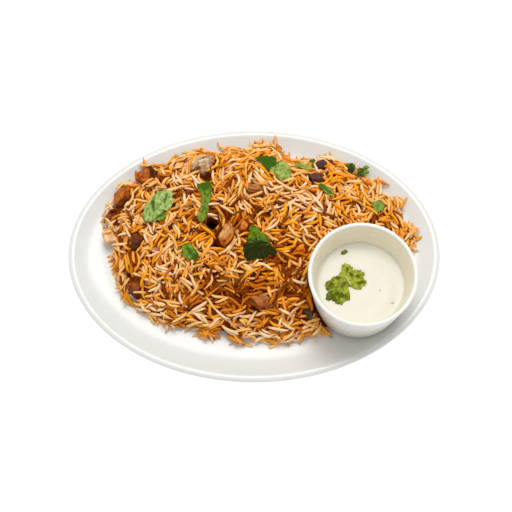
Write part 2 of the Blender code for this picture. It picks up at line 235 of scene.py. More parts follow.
def plate_profile():
    """The plate's section as rows of distance in from the edge and height, from the well, over the
    lip, to the middle of the underside."""
    insets = np.concatenate([WELL_STEPS, np.linspace(RIM_WIDTH, LIP_INSET, 18)])
    upper = np.stack([insets, rim_height(insets)], axis=1)
    turns = np.radians(np.linspace(*LIP_ARC, 12))
    lip_radius = PLATE_SHELL / 2
    lip_middle = float(rim_height(LIP_INSET)) - LIP_DROP
    lip = np.stack([lip_radius * (1 - np.cos(turns)), lip_middle + lip_radius * np.sin(turns)], axis=1)
    insets = np.linspace(*UNDERSIDE, 14)
    under = np.stack([insets, rim_height(insets) - PLATE_SHELL], axis=1)
    low = WELL_HEIGHT - PLATE_SHELL
    side = [*FOOT_LOW, *[(out, low - down) for out, down in FOOT_HIGH]]
    outer_side = [(FOOT_INSET - out, height) for out, height in side[::-1]]
    inner_side = [(FOOT_INSET + FOOT_WIDTH + out, height) for out, height in side]
    return np.concatenate([upper, lip, under, outer_side, inner_side, [(WELL_STEPS[0], low)]])


def paint_glaze(place):
    """White glaze with faint clouds, and bare clay on the foot ring's underside."""
    clouds = place.noise(22.0, 3.0)
    glaze = clouds.mix(display(228, 230, 226), display(232, 234, 230))
    bare = 1 - place.axis("Z").rises(0.0004, 0.0008)
    return {
        "Base Color": bare.mix(glaze, display(214, 203, 184)),
        "Roughness": 0.20 + 0.06 * place.noise(90.0) + 0.5 * bare,
        "Normal": place.noise(160.0, 1.0).bump(0.00012, 0.5),
        "IOR": 1.50,
    }


turn = all_round(PLATE_COLUMNS)
edge = np.stack([PLATE_HALF_LENGTH * np.cos(turn), PLATE_HALF_WIDTH * np.sin(turn)], axis=1)
facing = np.stack([PLATE_HALF_WIDTH * np.cos(turn), PLATE_HALF_LENGTH * np.sin(turn)], axis=1)
facing /= np.linalg.norm(facing, axis=1, keepdims=True)
profile = plate_profile()
rings = np.empty((len(profile), PLATE_COLUMNS, 3))
rings[:, :, :2] = edge - profile[:, 0, None, None] * facing
rings[:, :, 2] = profile[:, 1, None]
points, faces = closed_skin(rings, (0, 0, WELL_HEIGHT), (0, 0, WELL_HEIGHT - PLATE_SHELL))
outward = [corners[:, ::-1] for corners in faces]
plate = make_piece("plate_glazed", points, outward, make_finish("plate_glaze", paint_glaze))
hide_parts("plate")


# Dip pot
# A round white pot, turned with a straight flared wall, a rounded rim and a flat foot. It is
# glazed inside and out, and stands level on the plate's rising rim.

pot_low, pot_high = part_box("dip_pot")
POT_MIDDLE = np.array([(pot_low.x + pot_high.x) / 2, (pot_low.y + pot_high.y) / 2])
POT_FOOT = pot_low.z
POT_HEIGHT = pot_high.z - pot_low.z
POT_RIM_RADIUS = (pot_high.x - pot_low.x) / 2
POT_BASE_RADIUS = 0.0345
POT_WALL = 0.0037
POT_FLOOR = 0.0050
POT_FLOOR_TURN = 0.0070
POT_RIM_ROUND = POT_WALL / 2 - 0.0003
POT_COLUMNS = 144

# The underside and the edge of the pot's foot: rows of radius and height
POT_FOOT_SECTION = ((0.0276, 0.0012), (0.0284, 0.0004), (0.0292, 0.0), (0.0328, 0.0), (0.0340, 0.0004),
                    (POT_BASE_RADIUS, 0.0012))


def pot_outside(height):
    """Outer radius of the pot's wall at a height over its foot: a straight line from foot to rim."""
    return POT_BASE_RADIUS + (POT_RIM_RADIUS - POT_BASE_RADIUS) * height / POT_HEIGHT


def pot_inside(height):
    """Inner radius of the pot at a height over its foot, with a quarter round above the floor."""
    below = np.clip(POT_FLOOR + POT_FLOOR_TURN - height, 0, POT_FLOOR_TURN)
    return pot_outside(height) - POT_WALL - (POT_FLOOR_TURN - np.sqrt(POT_FLOOR_TURN ** 2 - below ** 2))


def turned_rings(section, columns):
    """Rings of points round the pot's axis through rows of radius and height over its foot."""
    turn = all_round(columns)
    rings = np.empty((len(section), columns, 3))
    rings[:, :, 0] = POT_MIDDLE[0] + section[:, 0, None] * np.cos(turn)
    rings[:, :, 1] = POT_MIDDLE[1] + section[:, 0, None] * np.sin(turn)
    rings[:, :, 2] = POT_FOOT + section[:, 1, None]
    return rings


def paint_pot(place):
    """Warm white glaze, creamier inside the wall, with painted shade low on the outside and a soft dimple
    all over.
    """
    within = place.mark("within", "Fac")
    # Painted shade: the outer wall turns darker towards its foot
    low = 1 - place.axis("Z").rises(0.012, 0.066)
    cream = 0.85 * within + 0.15 * place.noise(30.0)
    glaze = cream.mix(display(243, 242, 238), display(250, 241, 217))
    return {
        "Base Color": (low * (1 - within)).mix(glaze, display(200, 193, 176)),
        "Roughness": 0.22 + 0.08 * place.noise(120.0),
        "Normal": place.noise(30.0, 1.0).bump(0.0001, 0.3),
        "IOR": 1.50,
    }


heights = np.linspace(0.0018, POT_HEIGHT - 0.0040, 16)
outside = np.stack([pot_outside(heights), heights], axis=1)
turns = np.radians(np.linspace(0, 180, 13))
rim = np.stack([POT_RIM_RADIUS - POT_RIM_ROUND + POT_RIM_ROUND * np.cos(turns),
                POT_HEIGHT - POT_RIM_ROUND + POT_RIM_ROUND * np.sin(turns)], axis=1)
heights = np.linspace(POT_HEIGHT - 0.0050, POT_FLOOR, 30)
inside = np.stack([pot_inside(heights), heights], axis=1)
rings = turned_rings(np.concatenate([POT_FOOT_SECTION, outside, rim, inside]), POT_COLUMNS)
under_middle = (*POT_MIDDLE, POT_FOOT + POT_FOOT_SECTION[0][1])
points, faces = closed_skin(rings, under_middle, (*POT_MIDDLE, POT_FOOT + POT_FLOOR))
pot = make_piece("dip_pot_glazed", points, faces, make_finish("pot_glaze", paint_pot))

# The glaze turns creamy where the rim's last rows go over to the inside
rows_outside = len(rings) - len(inside) - 3
within = np.repeat(np.arange(len(rings)) > rows_outside, POT_COLUMNS).astype(float)
mark_points(pot, "within", np.concatenate([within, [0.0, 1.0]]))
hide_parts("dip_pot")


# Raita
# Whisked yogurt thinned with a little water, poured into the pot. It climbs the wall by a hair,
# keeps faint swirls of the spoon, and has a few specks of roasted cumin in it.

RAITA_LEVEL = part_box("raita")[1].z - POT_FOOT
RAITA_BITE = 0.0003
RAITA_CLIMB = 0.0007
SWIRLS = (0.00016, 0.00010)
RAITA_COLUMNS = 144


def raita_surface(radius, turn):
    """Height over the level: a lip that climbs the wall, and slow spiral swirls."""
    share = radius / pot_inside(RAITA_LEVEL)
    climb = RAITA_CLIMB * share ** 26
    swirl = SWIRLS[0] * np.sin(2 * turn + 13 * share) * share * (1 - share ** 8)
    return climb + swirl + SWIRLS[1] * np.sin(3 * turn - 7 * share + 1.0) * share


def paint_raita(place):
    """Cream-white yogurt with pale whey clouds and sparse brown and green specks."""
    clouds = place.noise(45.0, 3.0)
    cream = clouds.mix(display(214, 211, 193), display(220, 218, 202))
    specks = place.noise(620.0, 1.0).rises(0.765, 0.80)
    return {
        "Base Color": (0.3 * specks).mix(cream, display(176, 160, 100)),
        "Roughness": 0.26 + 0.12 * clouds,
        "Normal": place.noise(260.0, 2.0).bump(0.00016, 0.5),
    }


outer_radii = np.linspace(0.031, pot_inside(RAITA_LEVEL) + RAITA_BITE, 14)
radii = np.concatenate([np.linspace(0.002, 0.030, 24), outer_radii])
turn = all_round(RAITA_COLUMNS)
top = turned_rings(np.stack([radii, np.full(len(radii), RAITA_LEVEL)], axis=1), RAITA_COLUMNS)
top[:, :, 2] += raita_surface(radii[:, None], turn)
heights = np.linspace(RAITA_LEVEL - 0.002, POT_FLOOR + 0.0002, 14)
side = turned_rings(np.stack([pot_inside(heights) + RAITA_BITE, heights], axis=1), RAITA_COLUMNS)
rings = np.concatenate([top, side])[::-1]
lowest = (*POT_MIDDLE, POT_FOOT + heights[-1])
points, faces = closed_skin(rings, lowest, (*POT_MIDDLE, POT_FOOT + RAITA_LEVEL))
raita = make_piece("raita_filled", points, faces, make_finish("raita_yogurt", paint_raita))
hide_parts("raita")


# Garnish on the raita
# Two fresh coriander leaflets on the end of their stalk, picked and laid on the yogurt, where they
# float with their toothed margins a little raised. A few bits of chopped leaf lie beside them.

LEAF_COLUMNS = 192
LEAF_ROWS = 12
LEAF_TOOTH = 0.00075
LEAF_SHEET = 0.00028
CREASE_WIDTH = 0.0011
CREASE_DROP = 0.0009
VEIN_DROP = 0.03
FLOAT_HEIGHT = 0.0007
FLAKE_LIFT = 0.0002


def read_vectors(mesh, what):
    """One vector of every vertex of a mesh, its place or its normal, as rows."""
    values = np.empty(len(mesh.vertices) * 3)
    mesh.vertices.foreach_get(what, values)
    return values.reshape(-1, 3)


def leaf_rim(node):
    """The leaf solid's middle, and its reach and top height in each of a leaf's directions."""
    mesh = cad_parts[node].data
    points = read_vectors(mesh, "co").round(6)
    corners = np.empty(len(mesh.loops), int)
    mesh.loops.foreach_get("vertex_index", corners)
    spots, which = np.unique(points[corners], axis=0, return_inverse=True)
    middle = spots[np.bincount(which.ravel()).argmax()]
    away = spots[:, :2] - middle[:2]
    reach = np.hypot(*away.T)
    middle_top = spots[reach < 1e-5, 2].max()
    edge = reach > 1e-4
    turn = np.arctan2(away[edge, 1], away[edge, 0])
    order = np.lexsort([spots[edge, 2], turn.round(4)])[1::2]
    turn, reach, top = turn[order], reach[edge][order], spots[edge, 2][order]
    asked = all_round(LEAF_COLUMNS) - math.pi
    reach = np.interp(asked, turn, reach, period=math.tau)
    top = np.interp(asked, turn, top, period=math.tau)
    return np.array([*middle[:2], middle_top]), asked, smooth_round(reach), smooth_round(top)


def smooth_round(values):
    """Values round a ring, each averaged with its neighbours."""
    for _ in range(3):
        values = 0.5 * values + 0.25 * (np.roll(values, 1) + np.roll(values, -1))
    return values


def thin_sheet(upper, middle):
    """Points and faces of a closed sheet: rings round a middle, and the same again a little lower."""
    down = (0, 0, LEAF_SHEET)
    return closed_skin(np.concatenate([upper - down, upper[::-1]]), middle - down, middle)


def make_leaf(name, node, look, lowest, material, tooth_size=LEAF_TOOTH, notches=()):
    """A thin leaf over the leaf solid's outline. Its margin has rounded teeth of one size and
    notches, each with a direction, a half width and a depth as a share of the reach. The blade
    waves, cups and is creased. look gives the teeth round it, the wave and the cup as shares of its
    size, the direction of the side that is given painted shade, and its creases, which are also
    given painted shade: the place of each from the leaf's middle, its direction, half its length and
    its depth. No point of it is under lowest."""
    teeth, wave, cup, painted_shade_side, creases = look
    middle, turn, reach, top = leaf_rim(node)
    size = reach.mean()
    for way, half_width, depth in notches:
        away = (np.degrees(turn) - way + 180) % 360 - 180
        reach = reach * (1 - depth * np.exp(-(away / half_width) ** 2))
    tooth = tooth_size * (np.abs(np.sin(teeth * turn / 2)) ** 0.7 + 0.4 * np.sin(3 * teeth * turn / 2))
    share = np.linspace(0.06, 1, LEAF_ROWS)[:, None]
    distance = share * reach + tooth * share ** 4
    x = distance * np.cos(turn)
    y = distance * np.sin(turn)
    veins = np.exp(-(np.sin(teeth * turn / 4) / 0.22) ** 2) * np.clip(1.15 - share, 0, 1)
    height = middle[2] + (top - middle[2]) * share + wave * size * share ** 2 * np.sin(3 * turn + teeth)
    height = height + cup * size * share ** 2 - VEIN_DROP * size * veins
    crease = np.zeros_like(x)
    for crease_x, crease_y, way, half_length, depth in creases:
        way = math.radians(way)
        beside = (x - crease_x) * math.sin(way) - (y - crease_y) * math.cos(way)
        onward = (x - crease_x) * math.cos(way) + (y - crease_y) * math.sin(way)
        away = (beside / CREASE_WIDTH) ** 2 + (onward / half_length) ** 4
        crease = np.maximum(crease, depth * np.exp(-away))
    height = np.maximum(height - CREASE_DROP * crease, lowest)
    points, faces = thin_sheet(np.stack([middle[0] + x, middle[1] + y, height], axis=-1), middle)
    leaf = make_piece(name, points, faces, material)
    # Painted shade: each point's share toward the leaf's shaded side, and the creases, go to the material
    # as marks
    side = math.radians(painted_shade_side)
    dark = 0.5 + 0.5 * (x * math.cos(side) + y * math.sin(side)) / reach.max()
    marks = np.stack([crease, np.broadcast_to(veins, x.shape), dark], axis=-1)
    marks = np.concatenate([marks, marks[::-1]]).reshape(-1, 3)
    mark_points(leaf, "leaf", np.concatenate([marks, marks[:1], marks[:1]]))
    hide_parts(node)


def paint_leaf(light, deep, dark_from, dark_to, mottle=330.0, streaky=0.45):
    """A leaf green from light to deep by mottling, and towards deep as painted shade beyond dark_from
    on its shaded side and in the creases, with pale veins and fine wrinkles."""
    def paint(place):
        marks = place.mark("leaf")
        dark = marks.axis("Z").rises(dark_from, dark_to)
        blotch = place.noise(mottle, 4.0, 0.6)
        streaks = place.scaled(1.0, 0.25, 1.0).noise(800.0, 1.0)
        # Painted shade: the shaded side and the creases push the blade towards the deep green
        shade = 0.75 * dark + 1.2 * marks.axis("X") + 2.0 * blotch + streaky * (streaks - 0.5) - 0.60
        blade = shade.rises(0.0, 1.0).mix(light, deep)
        veins = marks.axis("Y") * (0.40 - 0.36 * dark)
        return {
            "Base Color": veins.mix(blade, display(196, 204, 128)),
            "Roughness": 0.42 + 0.2 * blotch,
            "Normal": (streaks + blotch).bump(0.0006, 0.8),
            "Specular IOR Level": 0.05,
        }
    return paint


def tube_along(path, radii, sides, flatness=(1.0, 1.0)):
    """Rings round paths of points, each ring with its radius times flatness, once for its width and
    once for its height. A ring's first side is level, at right angles to the path."""
    ahead = np.gradient(path, axis=-2)
    ahead /= np.linalg.norm(ahead, axis=-1, keepdims=True)
    side = np.cross(ahead, (0, 0, 1.0))
    side /= np.linalg.norm(side, axis=-1, keepdims=True)
    up = np.cross(side, ahead)
    angle = all_round(sides)[:, None]
    across = flatness[0] * np.cos(angle) * side[..., None, :]
    upright = flatness[1] * np.sin(angle) * up[..., None, :]
    return path[..., None, :] + radii[..., None, None] * (across + upright)


def make_stalk(name, start, end, sag, radius, material):
    """A round stalk from start to end, bowed by a sine's half wave and thinner to its end."""
    share = np.linspace(0, 1, 14)
    path = np.outer(1 - share, start) + np.outer(share, end)
    path[:, :2] += np.outer(sag * np.sin(math.pi * share), (-(end[1] - start[1]), end[0] - start[0])) / 0.01
    radii = radius * (1 - 0.4 * share) * np.clip(0.55 + 8 * np.minimum(share, 1 - share), 0, 1)
    points, faces = closed_skin(tube_along(path, radii, 10), path[0], path[-1])
    stalk = make_piece(name, points, faces, material)


def paint_stalk(place):
    """Pale yellow-green, greener in streaks."""
    streaks = place.scaled(1.0, 1.0, 0.2).noise(700.0, 2.0)
    return {
        "Base Color": streaks.mix(display(222, 222, 168), display(168, 178, 92)),
        "Roughness": 0.4 + 0.15 * streaks,
        "Normal": streaks.bump(0.0002, 0.6),
    }


def make_flake(name, place, size, turn, lift, material):
    """A bit of chopped leaf: an uneven round whose reach goes with two sines, cupped by its square."""
    around = all_round(28)
    reach = size / 2 * (1 + 0.22 * np.sin(2 * around + turn) + 0.12 * np.sin(5 * around + 2 * turn))
    share = np.linspace(0.2, 1, 5)[:, None]
    x = place[0] + share * reach * np.cos(around)
    y = place[1] + share * reach * np.sin(around)
    middle = np.array(place) + (0, 0, FLAKE_LIFT)
    height = middle[2] + lift * share ** 2 * np.sin(around + turn) ** 2
    points, faces = thin_sheet(np.stack([x, y, height], axis=-1), middle)
    flake = make_piece(name, points, faces, material)


def paint_flake(light, deep):
    """A bit of herb, mottled from light to deep."""
    def paint(place):
        blotch = place.noise(900.0, 3.0)
        return {
            "Base Color": blotch.rises(0.35, 0.65).mix(light, deep),
            "Roughness": 0.45 + 0.2 * blotch,
            "Normal": blotch.bump(0.0004, 0.8),
            "Specular IOR Level": 0.10,
        }
    return paint


# The garnish's look, as for the leaves on the rice: its shaded side and its creases are painted shade
GARNISH_LOOK = (30, 0.045, 0.02, 215, (
    (0.0018, 0.0116, 80, 0.0022, 0.6), (0.0046, 0.0074, 120, 0.0026, 0.8),
    (-0.0062, 0.0049, 150, 0.0022, 0.8), (0.0120, 0.0007, 30, 0.0026, 0.9),
    (-0.0035, -0.0095, 160, 0.0048, 1.0), (0.0038, -0.0108, 60, 0.0022, 0.8),
    (0.0050, -0.0125, 15, 0.0034, 0.9), (-0.0112, -0.0010, 70, 0.0018, 0.6),
    (-0.0105, -0.0110, 110, 0.0020, 0.6), (0.0095, 0.0060, 140, 0.0018, 0.5),
    (-0.0020, -0.0010, 45, 0.0026, 0.5)))
GARNISH_TOOTH = 0.00105
GARNISH_NOTCHES = (
    (-50, 20, 0.50), (-92, 7, 0.10), (-128, 8, 0.12), (168, 9, 0.16), (128, 8, 0.12), (58, 8, 0.12),
    (18, 7, 0.14), (-14, 8, 0.16), (204, 8, 0.10))
garnish_leaf = paint_leaf(display(180, 188, 62), display(78, 92, 2), 0.50, 1.25, 480.0, 0.2)
garnish_green = make_finish("garnish_green", garnish_leaf)
raita_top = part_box("raita")[1].z
make_leaf("raita_garnish", "raita_leaf", GARNISH_LOOK, raita_top + FLOAT_HEIGHT, garnish_green,
          GARNISH_TOOTH, GARNISH_NOTCHES)
leaf_low, leaf_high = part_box("raita_leaf")
garnish_middle = np.array([(leaf_low.x + leaf_high.x) / 2, (leaf_low.y + leaf_high.y) / 2, raita_top])
stalk_green = make_finish("stalk_green", paint_stalk)
stalk_start = garnish_middle + (0.0040, -0.0016, 0.0024)
stalk_end = garnish_middle + (0.0002, 0.0060, 0.0027)
make_stalk("garnish_stalk", stalk_start, stalk_end, 0.0004, 0.00065, stalk_green)
fresh_bit = make_finish("fresh_bit", paint_flake(display(140, 150, 60), display(74, 92, 18)))
cumin_bit = make_finish("cumin_bit", paint_flake(display(214, 200, 160), display(184, 162, 116)))
make_flake("raita_bit_back", (0.0714, -0.0124, raita_top), 0.0046, 0.6, 0.0004, fresh_bit)
make_flake("raita_bit_brown", (0.1080, -0.0545, raita_top), 0.0017, 1.9, 0.0002, cumin_bit)
make_flake("raita_bit_right", (0.0985, -0.0440, raita_top), 0.0013, 0.2, 0.0002, cumin_bit)


# Map of the heap
# The solids are looked at from above, cell by cell, so that grains can be dropped onto them. The
# heap has a few deep gaps between pieces of meat, where only shade, partly painted on the bed, and
# dark grains are seen.

CELL = 0.0006
MAP_LOW = np.array([-0.150, -0.108])
MAP_SIZE = (500, 360)
NOWHERE = -1.0
OVERHEAD = 0.2
GAP_DEPTH = 0.0120

# The place of each gap and how wide it is
GAPS = ((-0.0347, 0.0160, 0.0056), (-0.0306, -0.0038, 0.0040), (0.0075, 0.0165, 0.0018),
        (-0.0380, 0.0545, 0.0034), (0.0300, -0.0060, 0.0024))

# Rounds at the heap's edge with no grains in them: place and radius
BARE = ((0.038, 0.100, 0.0160), (0.050, 0.096, 0.0120), (-0.034, 0.0975, 0.008), (-0.010, 0.0985, 0.006),
        (-0.081, 0.086, 0.009), (-0.104, 0.071, 0.008), (-0.065, 0.091, 0.006), (0.118, 0.057, 0.009),
        (0.131, 0.032, 0.008), (-0.060, -0.072, 0.007), (-0.051, -0.074, 0.007), (-0.027, -0.079, 0.007),
        (0.048, -0.078, 0.006), (-0.122, -0.010, 0.006), (-0.119, -0.022, 0.007), (0.100, 0.071, 0.007))


def seen_from_above(*nodes):
    """Height of these solids' highest face over each cell of the map, or NOWHERE beside them."""
    heights = np.full(MAP_SIZE, NOWHERE)
    for node in nodes:
        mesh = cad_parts[node].data
        tree = BVHTree.FromPolygons([v.co for v in mesh.vertices], [p.vertices for p in mesh.polygons])
        low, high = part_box(node)
        first = np.floor((np.array(low)[:2] - MAP_LOW) / CELL).astype(int).clip(0)
        last = np.ceil((np.array(high)[:2] - MAP_LOW) / CELL).astype(int) + 1
        for i in range(first[0], min(last[0], MAP_SIZE[0])):
            for j in range(first[1], min(last[1], MAP_SIZE[1])):
                start = (MAP_LOW[0] + i * CELL, MAP_LOW[1] + j * CELL, OVERHEAD)
                hit = tree.ray_cast(start, (0, 0, -1))[0]
                if hit is not None:
                    heights[i, j] = max(heights[i, j], hit.z)
    return heights


def cells_of(x, y):
    """The map's cell under each point."""
    i = ((x - MAP_LOW[0]) / CELL + 0.5).astype(int).clip(0, MAP_SIZE[0] - 1)
    j = ((y - MAP_LOW[1]) / CELL + 0.5).astype(int).clip(0, MAP_SIZE[1] - 1)
    return i, j


def blurred(heights, passes):
    """The map, each cell averaged with its four neighbours, again and again."""
    for _ in range(passes):
        sides = np.roll(heights, 1, 0) + np.roll(heights, -1, 0)
        sides = sides + np.roll(heights, 1, 1) + np.roll(heights, -1, 1)
        heights = 0.5 * heights + 0.125 * sides
    return heights


chunk_nodes = [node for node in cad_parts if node.startswith(("chicken", "spice"))]
leaf_nodes = [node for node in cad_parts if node.startswith("leaf")]
plate_map = seen_from_above("plate")
heap_map = seen_from_above("rice_heap")
chunk_map = seen_from_above(*chunk_nodes)
leaf_map = seen_from_above(*leaf_nodes)
heap_here = heap_map > 0
map_x = MAP_LOW[0] + CELL * np.arange(MAP_SIZE[0])[:, None]
map_y = MAP_LOW[1] + CELL * np.arange(MAP_SIZE[1])
grains_here = heap_here.copy()
for bare_x, bare_y, bare_radius in BARE:
    grains_here &= np.hypot(map_x - bare_x, map_y - bare_y) > bare_radius
gap_map = np.zeros(MAP_SIZE)
for gap_x, gap_y, spread in GAPS:
    gap_map += GAP_DEPTH * np.exp(-((map_x - gap_x) ** 2 + (map_y - gap_y) ** 2) / spread ** 2)


# Sauce-coated rice inside the heap
# The rice under the top layers, packed and stained by the masala. It shows only in the gaps
# between the loose grains as a dark orange-brown bed, and reaches down to the plate.

CORE_DEPTH = 0.0075
CORE_INSET = 0.0120
CORE_ROWS = 70
CORE_COLUMNS = 300
HEAP_MIDDLE = np.array([0.006, 0.009])
FARTHEST = 0.150

# How high the heap is at its edge and how steeply it rises from there
EDGE_HEIGHT = 0.0045
EDGE_SLOPE = 1.3

# The thin film that runs out from the bed under the outermost grains, and the share of the reach
# from which it dips into the plate
DIPS_FROM = 0.985
APRON = 0.0050
APRON_HEIGHT = 0.0007
FILM = 0.0004
SUNK = 0.0003
RIPPLE = 0.0007


def paint_bed(place):
    """Deep orange-brown with redder and yellower patches, and painted shade nearly black in the
    gaps; lumps of the size of grains."""
    gap = place.mark("gap", "Fac")
    patches = place.noise(70.0, 3.0)
    grains = place.noise(520.0, 2.0)
    stops = ((0.30, display(148, 60, 2)), (0.50, display(194, 92, 6)), (0.70, display(220, 120, 14)))
    colour = patches.node("ValToRGB", {"stops": stops}, {"Fac": patches}, "Color")
    lumps = (0.5 * grains).mix(colour, display(120, 54, 2))
    return {
        # Painted shade: the bed turns nearly black where it lies deep in a gap
        "Base Color": gap.rises(0.15, 0.7).mix(lumps, display(28, 14, 6)),
        "Roughness": 0.45 + 0.2 * patches,
        "Normal": grains.bump(0.0016, 0.9),
        "Specular IOR Level": 0.02,
    }


def inside_edge(x, y):
    """How far points are inside the edge of the grains, along the line from the heap's middle."""
    away_x, away_y = x - HEAP_MIDDLE[0], y - HEAP_MIDDLE[1]
    way = np.arctan2(away_y, away_x)
    reach = np.interp(way, all_round(CORE_COLUMNS), core_reach + CORE_INSET, period=math.tau)
    return reach - np.hypot(away_x, away_y)


turn = all_round(CORE_COLUMNS)
ways = np.stack([np.cos(turn), np.sin(turn)])
reaches = np.arange(0.0, FARTHEST, CELL)
i, j = cells_of(*(HEAP_MIDDLE[:, None, None] + reaches[:, None] * ways[:, None]))
core_reach = smooth_round(reaches[grains_here[i, j].argmin(axis=0)] - CORE_INSET)
share = np.linspace(0.02, 1.0, CORE_ROWS)[:, None]
reach = share * (core_reach + APRON)
x, y = HEAP_MIDDLE[:, None, None] + reach * ways[:, None]
i, j = cells_of(x, y)
edge_top = plate_map + EDGE_HEIGHT + EDGE_SLOPE * inside_edge(map_x, map_y).clip(0)
bed_map = blurred(np.minimum(np.where(heap_here, heap_map, plate_map), edge_top), 10)
bed_map = np.maximum(bed_map - CORE_DEPTH - gap_map, plate_map + FILM)
ripple = RIPPLE * np.sin(900 * x + 300 * y) * np.sin(840 * y - 260 * x) * (1 - share)
height = np.where(reach < core_reach, bed_map[i, j] + ripple, plate_map[i, j] + APRON_HEIGHT)
height = np.where(share < DIPS_FROM, height, plate_map[i, j] - SUNK)
rings = np.stack([x, y, height], axis=-1)[::-1]
top = (*HEAP_MIDDLE, height[0].mean())
points, faces = closed_skin(rings, (*HEAP_MIDDLE, WELL_HEIGHT - SUNK), top)
bed = make_piece("rice_bed", points, faces, make_finish("masala_bed", paint_bed))
# Each point's depth in a gap, which the bed's material turns into painted shade
mark_points(bed, "gap", np.concatenate([gap_map[i, j][::-1].ravel(), [0.0, 0.0]]) / GAP_DEPTH)
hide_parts("rice_heap")


# Chicken
# Pieces of boneless chicken, browned in the pan and simmered in masala. They are torn along the
# fibres, so their sides are uneven flats, and each sits in its own hollow of the rice.

# Each piece's light and deep colours, the depth of its fibres, the number of its flats, the colour
# of its masala and painted shade, and the direction of its side with painted shade
CHICKEN_LOOKS = {
    "chicken_back": ((255, 238, 198), (208, 154, 92), 0.00030, 7, (120, 60, 24), -90),
    "chicken_back_left": ((216, 120, 34), (132, 60, 8), 0.00014, 7, (84, 36, 8), 50),
    "chicken_oval": ((222, 128, 28), (150, 72, 6), 0.00014, 4, (112, 50, 8), -60),
    "chicken_edge_dark": ((190, 96, 24), (96, 42, 8), 0.00014, 5, (70, 30, 8), 120),
    "chicken_edge_pale": ((252, 216, 178), (228, 174, 126), 0.00014, 7, (226, 158, 96), 60),
    "chicken_left": ((136, 68, 18), (84, 38, 8), 0.00016, 6, (72, 32, 6), -90),
    "chicken_front_left": ((170, 88, 18), (92, 40, 4), 0.00014, 5, (84, 38, 6), -90),
    "chicken_top": ((206, 142, 80), (146, 88, 38), 0.00024, 6, (150, 76, 26), -100),
    "chicken_middle": ((234, 182, 112), (176, 118, 56), 0.00020, 8, (190, 100, 30), -60),
    "chicken_beside_leaf": ((244, 146, 52), (200, 92, 16), 0.00022, 8, (178, 72, 10), -90),
    "chicken_right": ((252, 160, 34), (222, 112, 12), 0.00024, 9, (196, 84, 8), -90),
    "chicken_front": ((196, 128, 66), (140, 82, 34), 0.00024, 6, (150, 70, 18), -100),
}

# Sizes of the skin's unevenness, as the distance from wave to wave
LUMP_PITCH = 0.0070
END_PITCH = 0.0060
FIBRE_PITCH = 0.0026
STRAND_PITCH = 0.0012

# How far out all of the skin and its lumps are moved, how deep a groove is to the piece's half
# width, how far out flats cut, how much of what is beyond a flat is pressed back, and how much
# longer an end is drawn
SKIN = 0.0001
LUMP_SIZE = 0.0006
GROOVES = 3
GROOVE_DEPTH = 0.06
FLAT_FROM = (0.52, 0.80)
PRESS = 0.85
END_DRAW = 0.22


def long_axes(points):
    """The three directions of a cloud of points, longest first, as rows."""
    return np.linalg.svd(points - points.mean(axis=0), full_matrices=False)[2]


def wrinkled(points, pitch, seed):
    """About -1 to 1 at each point: the sum of seven waves of one pitch in directions of their own."""
    chance = np.random.default_rng(seed)
    ways = chance.normal(size=(7, 3))
    ways *= math.tau / pitch / np.linalg.norm(ways, axis=1, keepdims=True)
    return np.sin(points @ ways.T + chance.uniform(0, math.tau, 7)).sum(axis=1) / 2.6


def move_points(mesh, points):
    """Put the vertices of a mesh at these points."""
    mesh.vertices.foreach_set("co", points.astype(np.float32).ravel())
    mesh.update()


def rounded_copy(name, node, material):
    """A finer skin over a chunk's solid: its corners are merged and rounded by subdivision."""
    solid = bmesh.new()
    solid.from_mesh(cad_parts[node].data)
    bmesh.ops.remove_doubles(solid, verts=solid.verts, dist=0.00001)
    mesh = bpy.data.meshes.new(name)
    solid.to_mesh(mesh)
    solid.free()
    mesh.materials.clear()
    mesh.materials.append(material)
    piece = add_object(name, mesh)
    rounding = piece.modifiers.new("rounding", "SUBSURF")
    rounding.levels = 3
    bpy.context.view_layer.update()
    rounded = piece.evaluated_get(bpy.context.evaluated_depsgraph_get())
    piece.data = bpy.data.meshes.new_from_object(rounded)
    piece.modifiers.clear()
    return piece


def make_morsel(name, node, ridge, flats, painted_shade_way, seed, material):
    """A chunk's rounded skin, pressed to planes that each cut off a little, its ends drawn out
    unevenly, and moved in and out by slow lumps, by ridges that run along its length and by a few
    grooves."""
    painted_shade_way = math.radians(painted_shade_way)
    piece = rounded_copy(name, node, material)
    points = read_vectors(piece.data, "co")
    middle = points.mean(axis=0)
    axes = long_axes(points)
    local = (points - middle) @ axes.T
    half = np.abs(local).max(axis=0)
    toward = (points - middle)[:, :2] @ (math.cos(painted_shade_way), math.sin(painted_shade_way))
    share = local / half
    chance = np.random.default_rng(seed)
    for facing in chance.normal(size=(flats, 3)):
        facing = facing / np.linalg.norm(facing)
        beyond = (share @ facing - chance.uniform(*FLAT_FROM)).clip(0)
        share = share - PRESS * beyond[:, None] * facing
    ends = wrinkled(local * (0.1, 1, 1), END_PITCH, seed + 50)
    share[:, 0] *= 1 + END_DRAW * np.abs(share[:, 0]) ** 3 * ends
    local = share * half
    move_points(piece.data, middle + local @ axes)
    groove = np.zeros(len(local))
    for _ in range(GROOVES):
        level = chance.uniform(-0.7, 0.7)
        drift = chance.normal(0, 0.3)
        width = chance.uniform(0.10, 0.20)
        beside = share[:, 1] * math.cos(level) + share[:, 2] * math.sin(level) - level - drift * share[:, 0]
        groove = np.maximum(groove, np.exp(-(beside / width) ** 2))
    fibres = wrinkled(local * (0.08, 1, 1), FIBRE_PITCH, seed + 1)
    strands = wrinkled(local * (0.10, 1, 1), STRAND_PITCH, seed + 2)
    move = SKIN + LUMP_SIZE * wrinkled(local, LUMP_PITCH, seed + 3)
    move += ridge * (1.5 * fibres + 0.6 * strands) - GROOVE_DEPTH * half[1] * groove
    normals = read_vectors(piece.data, "normal")
    move_points(piece.data, read_vectors(piece.data, "co") + normals * move[:, None])
    piece.data.shade_smooth()
    mark_points(piece, "fibre", local)
    # The grooves, and each point's share toward the side with painted shade
    mark_points(piece, "marks", np.stack([groove, toward / toward.max(), np.zeros_like(groove)], axis=1))
    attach(piece, "root")
    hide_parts(node)
    return piece


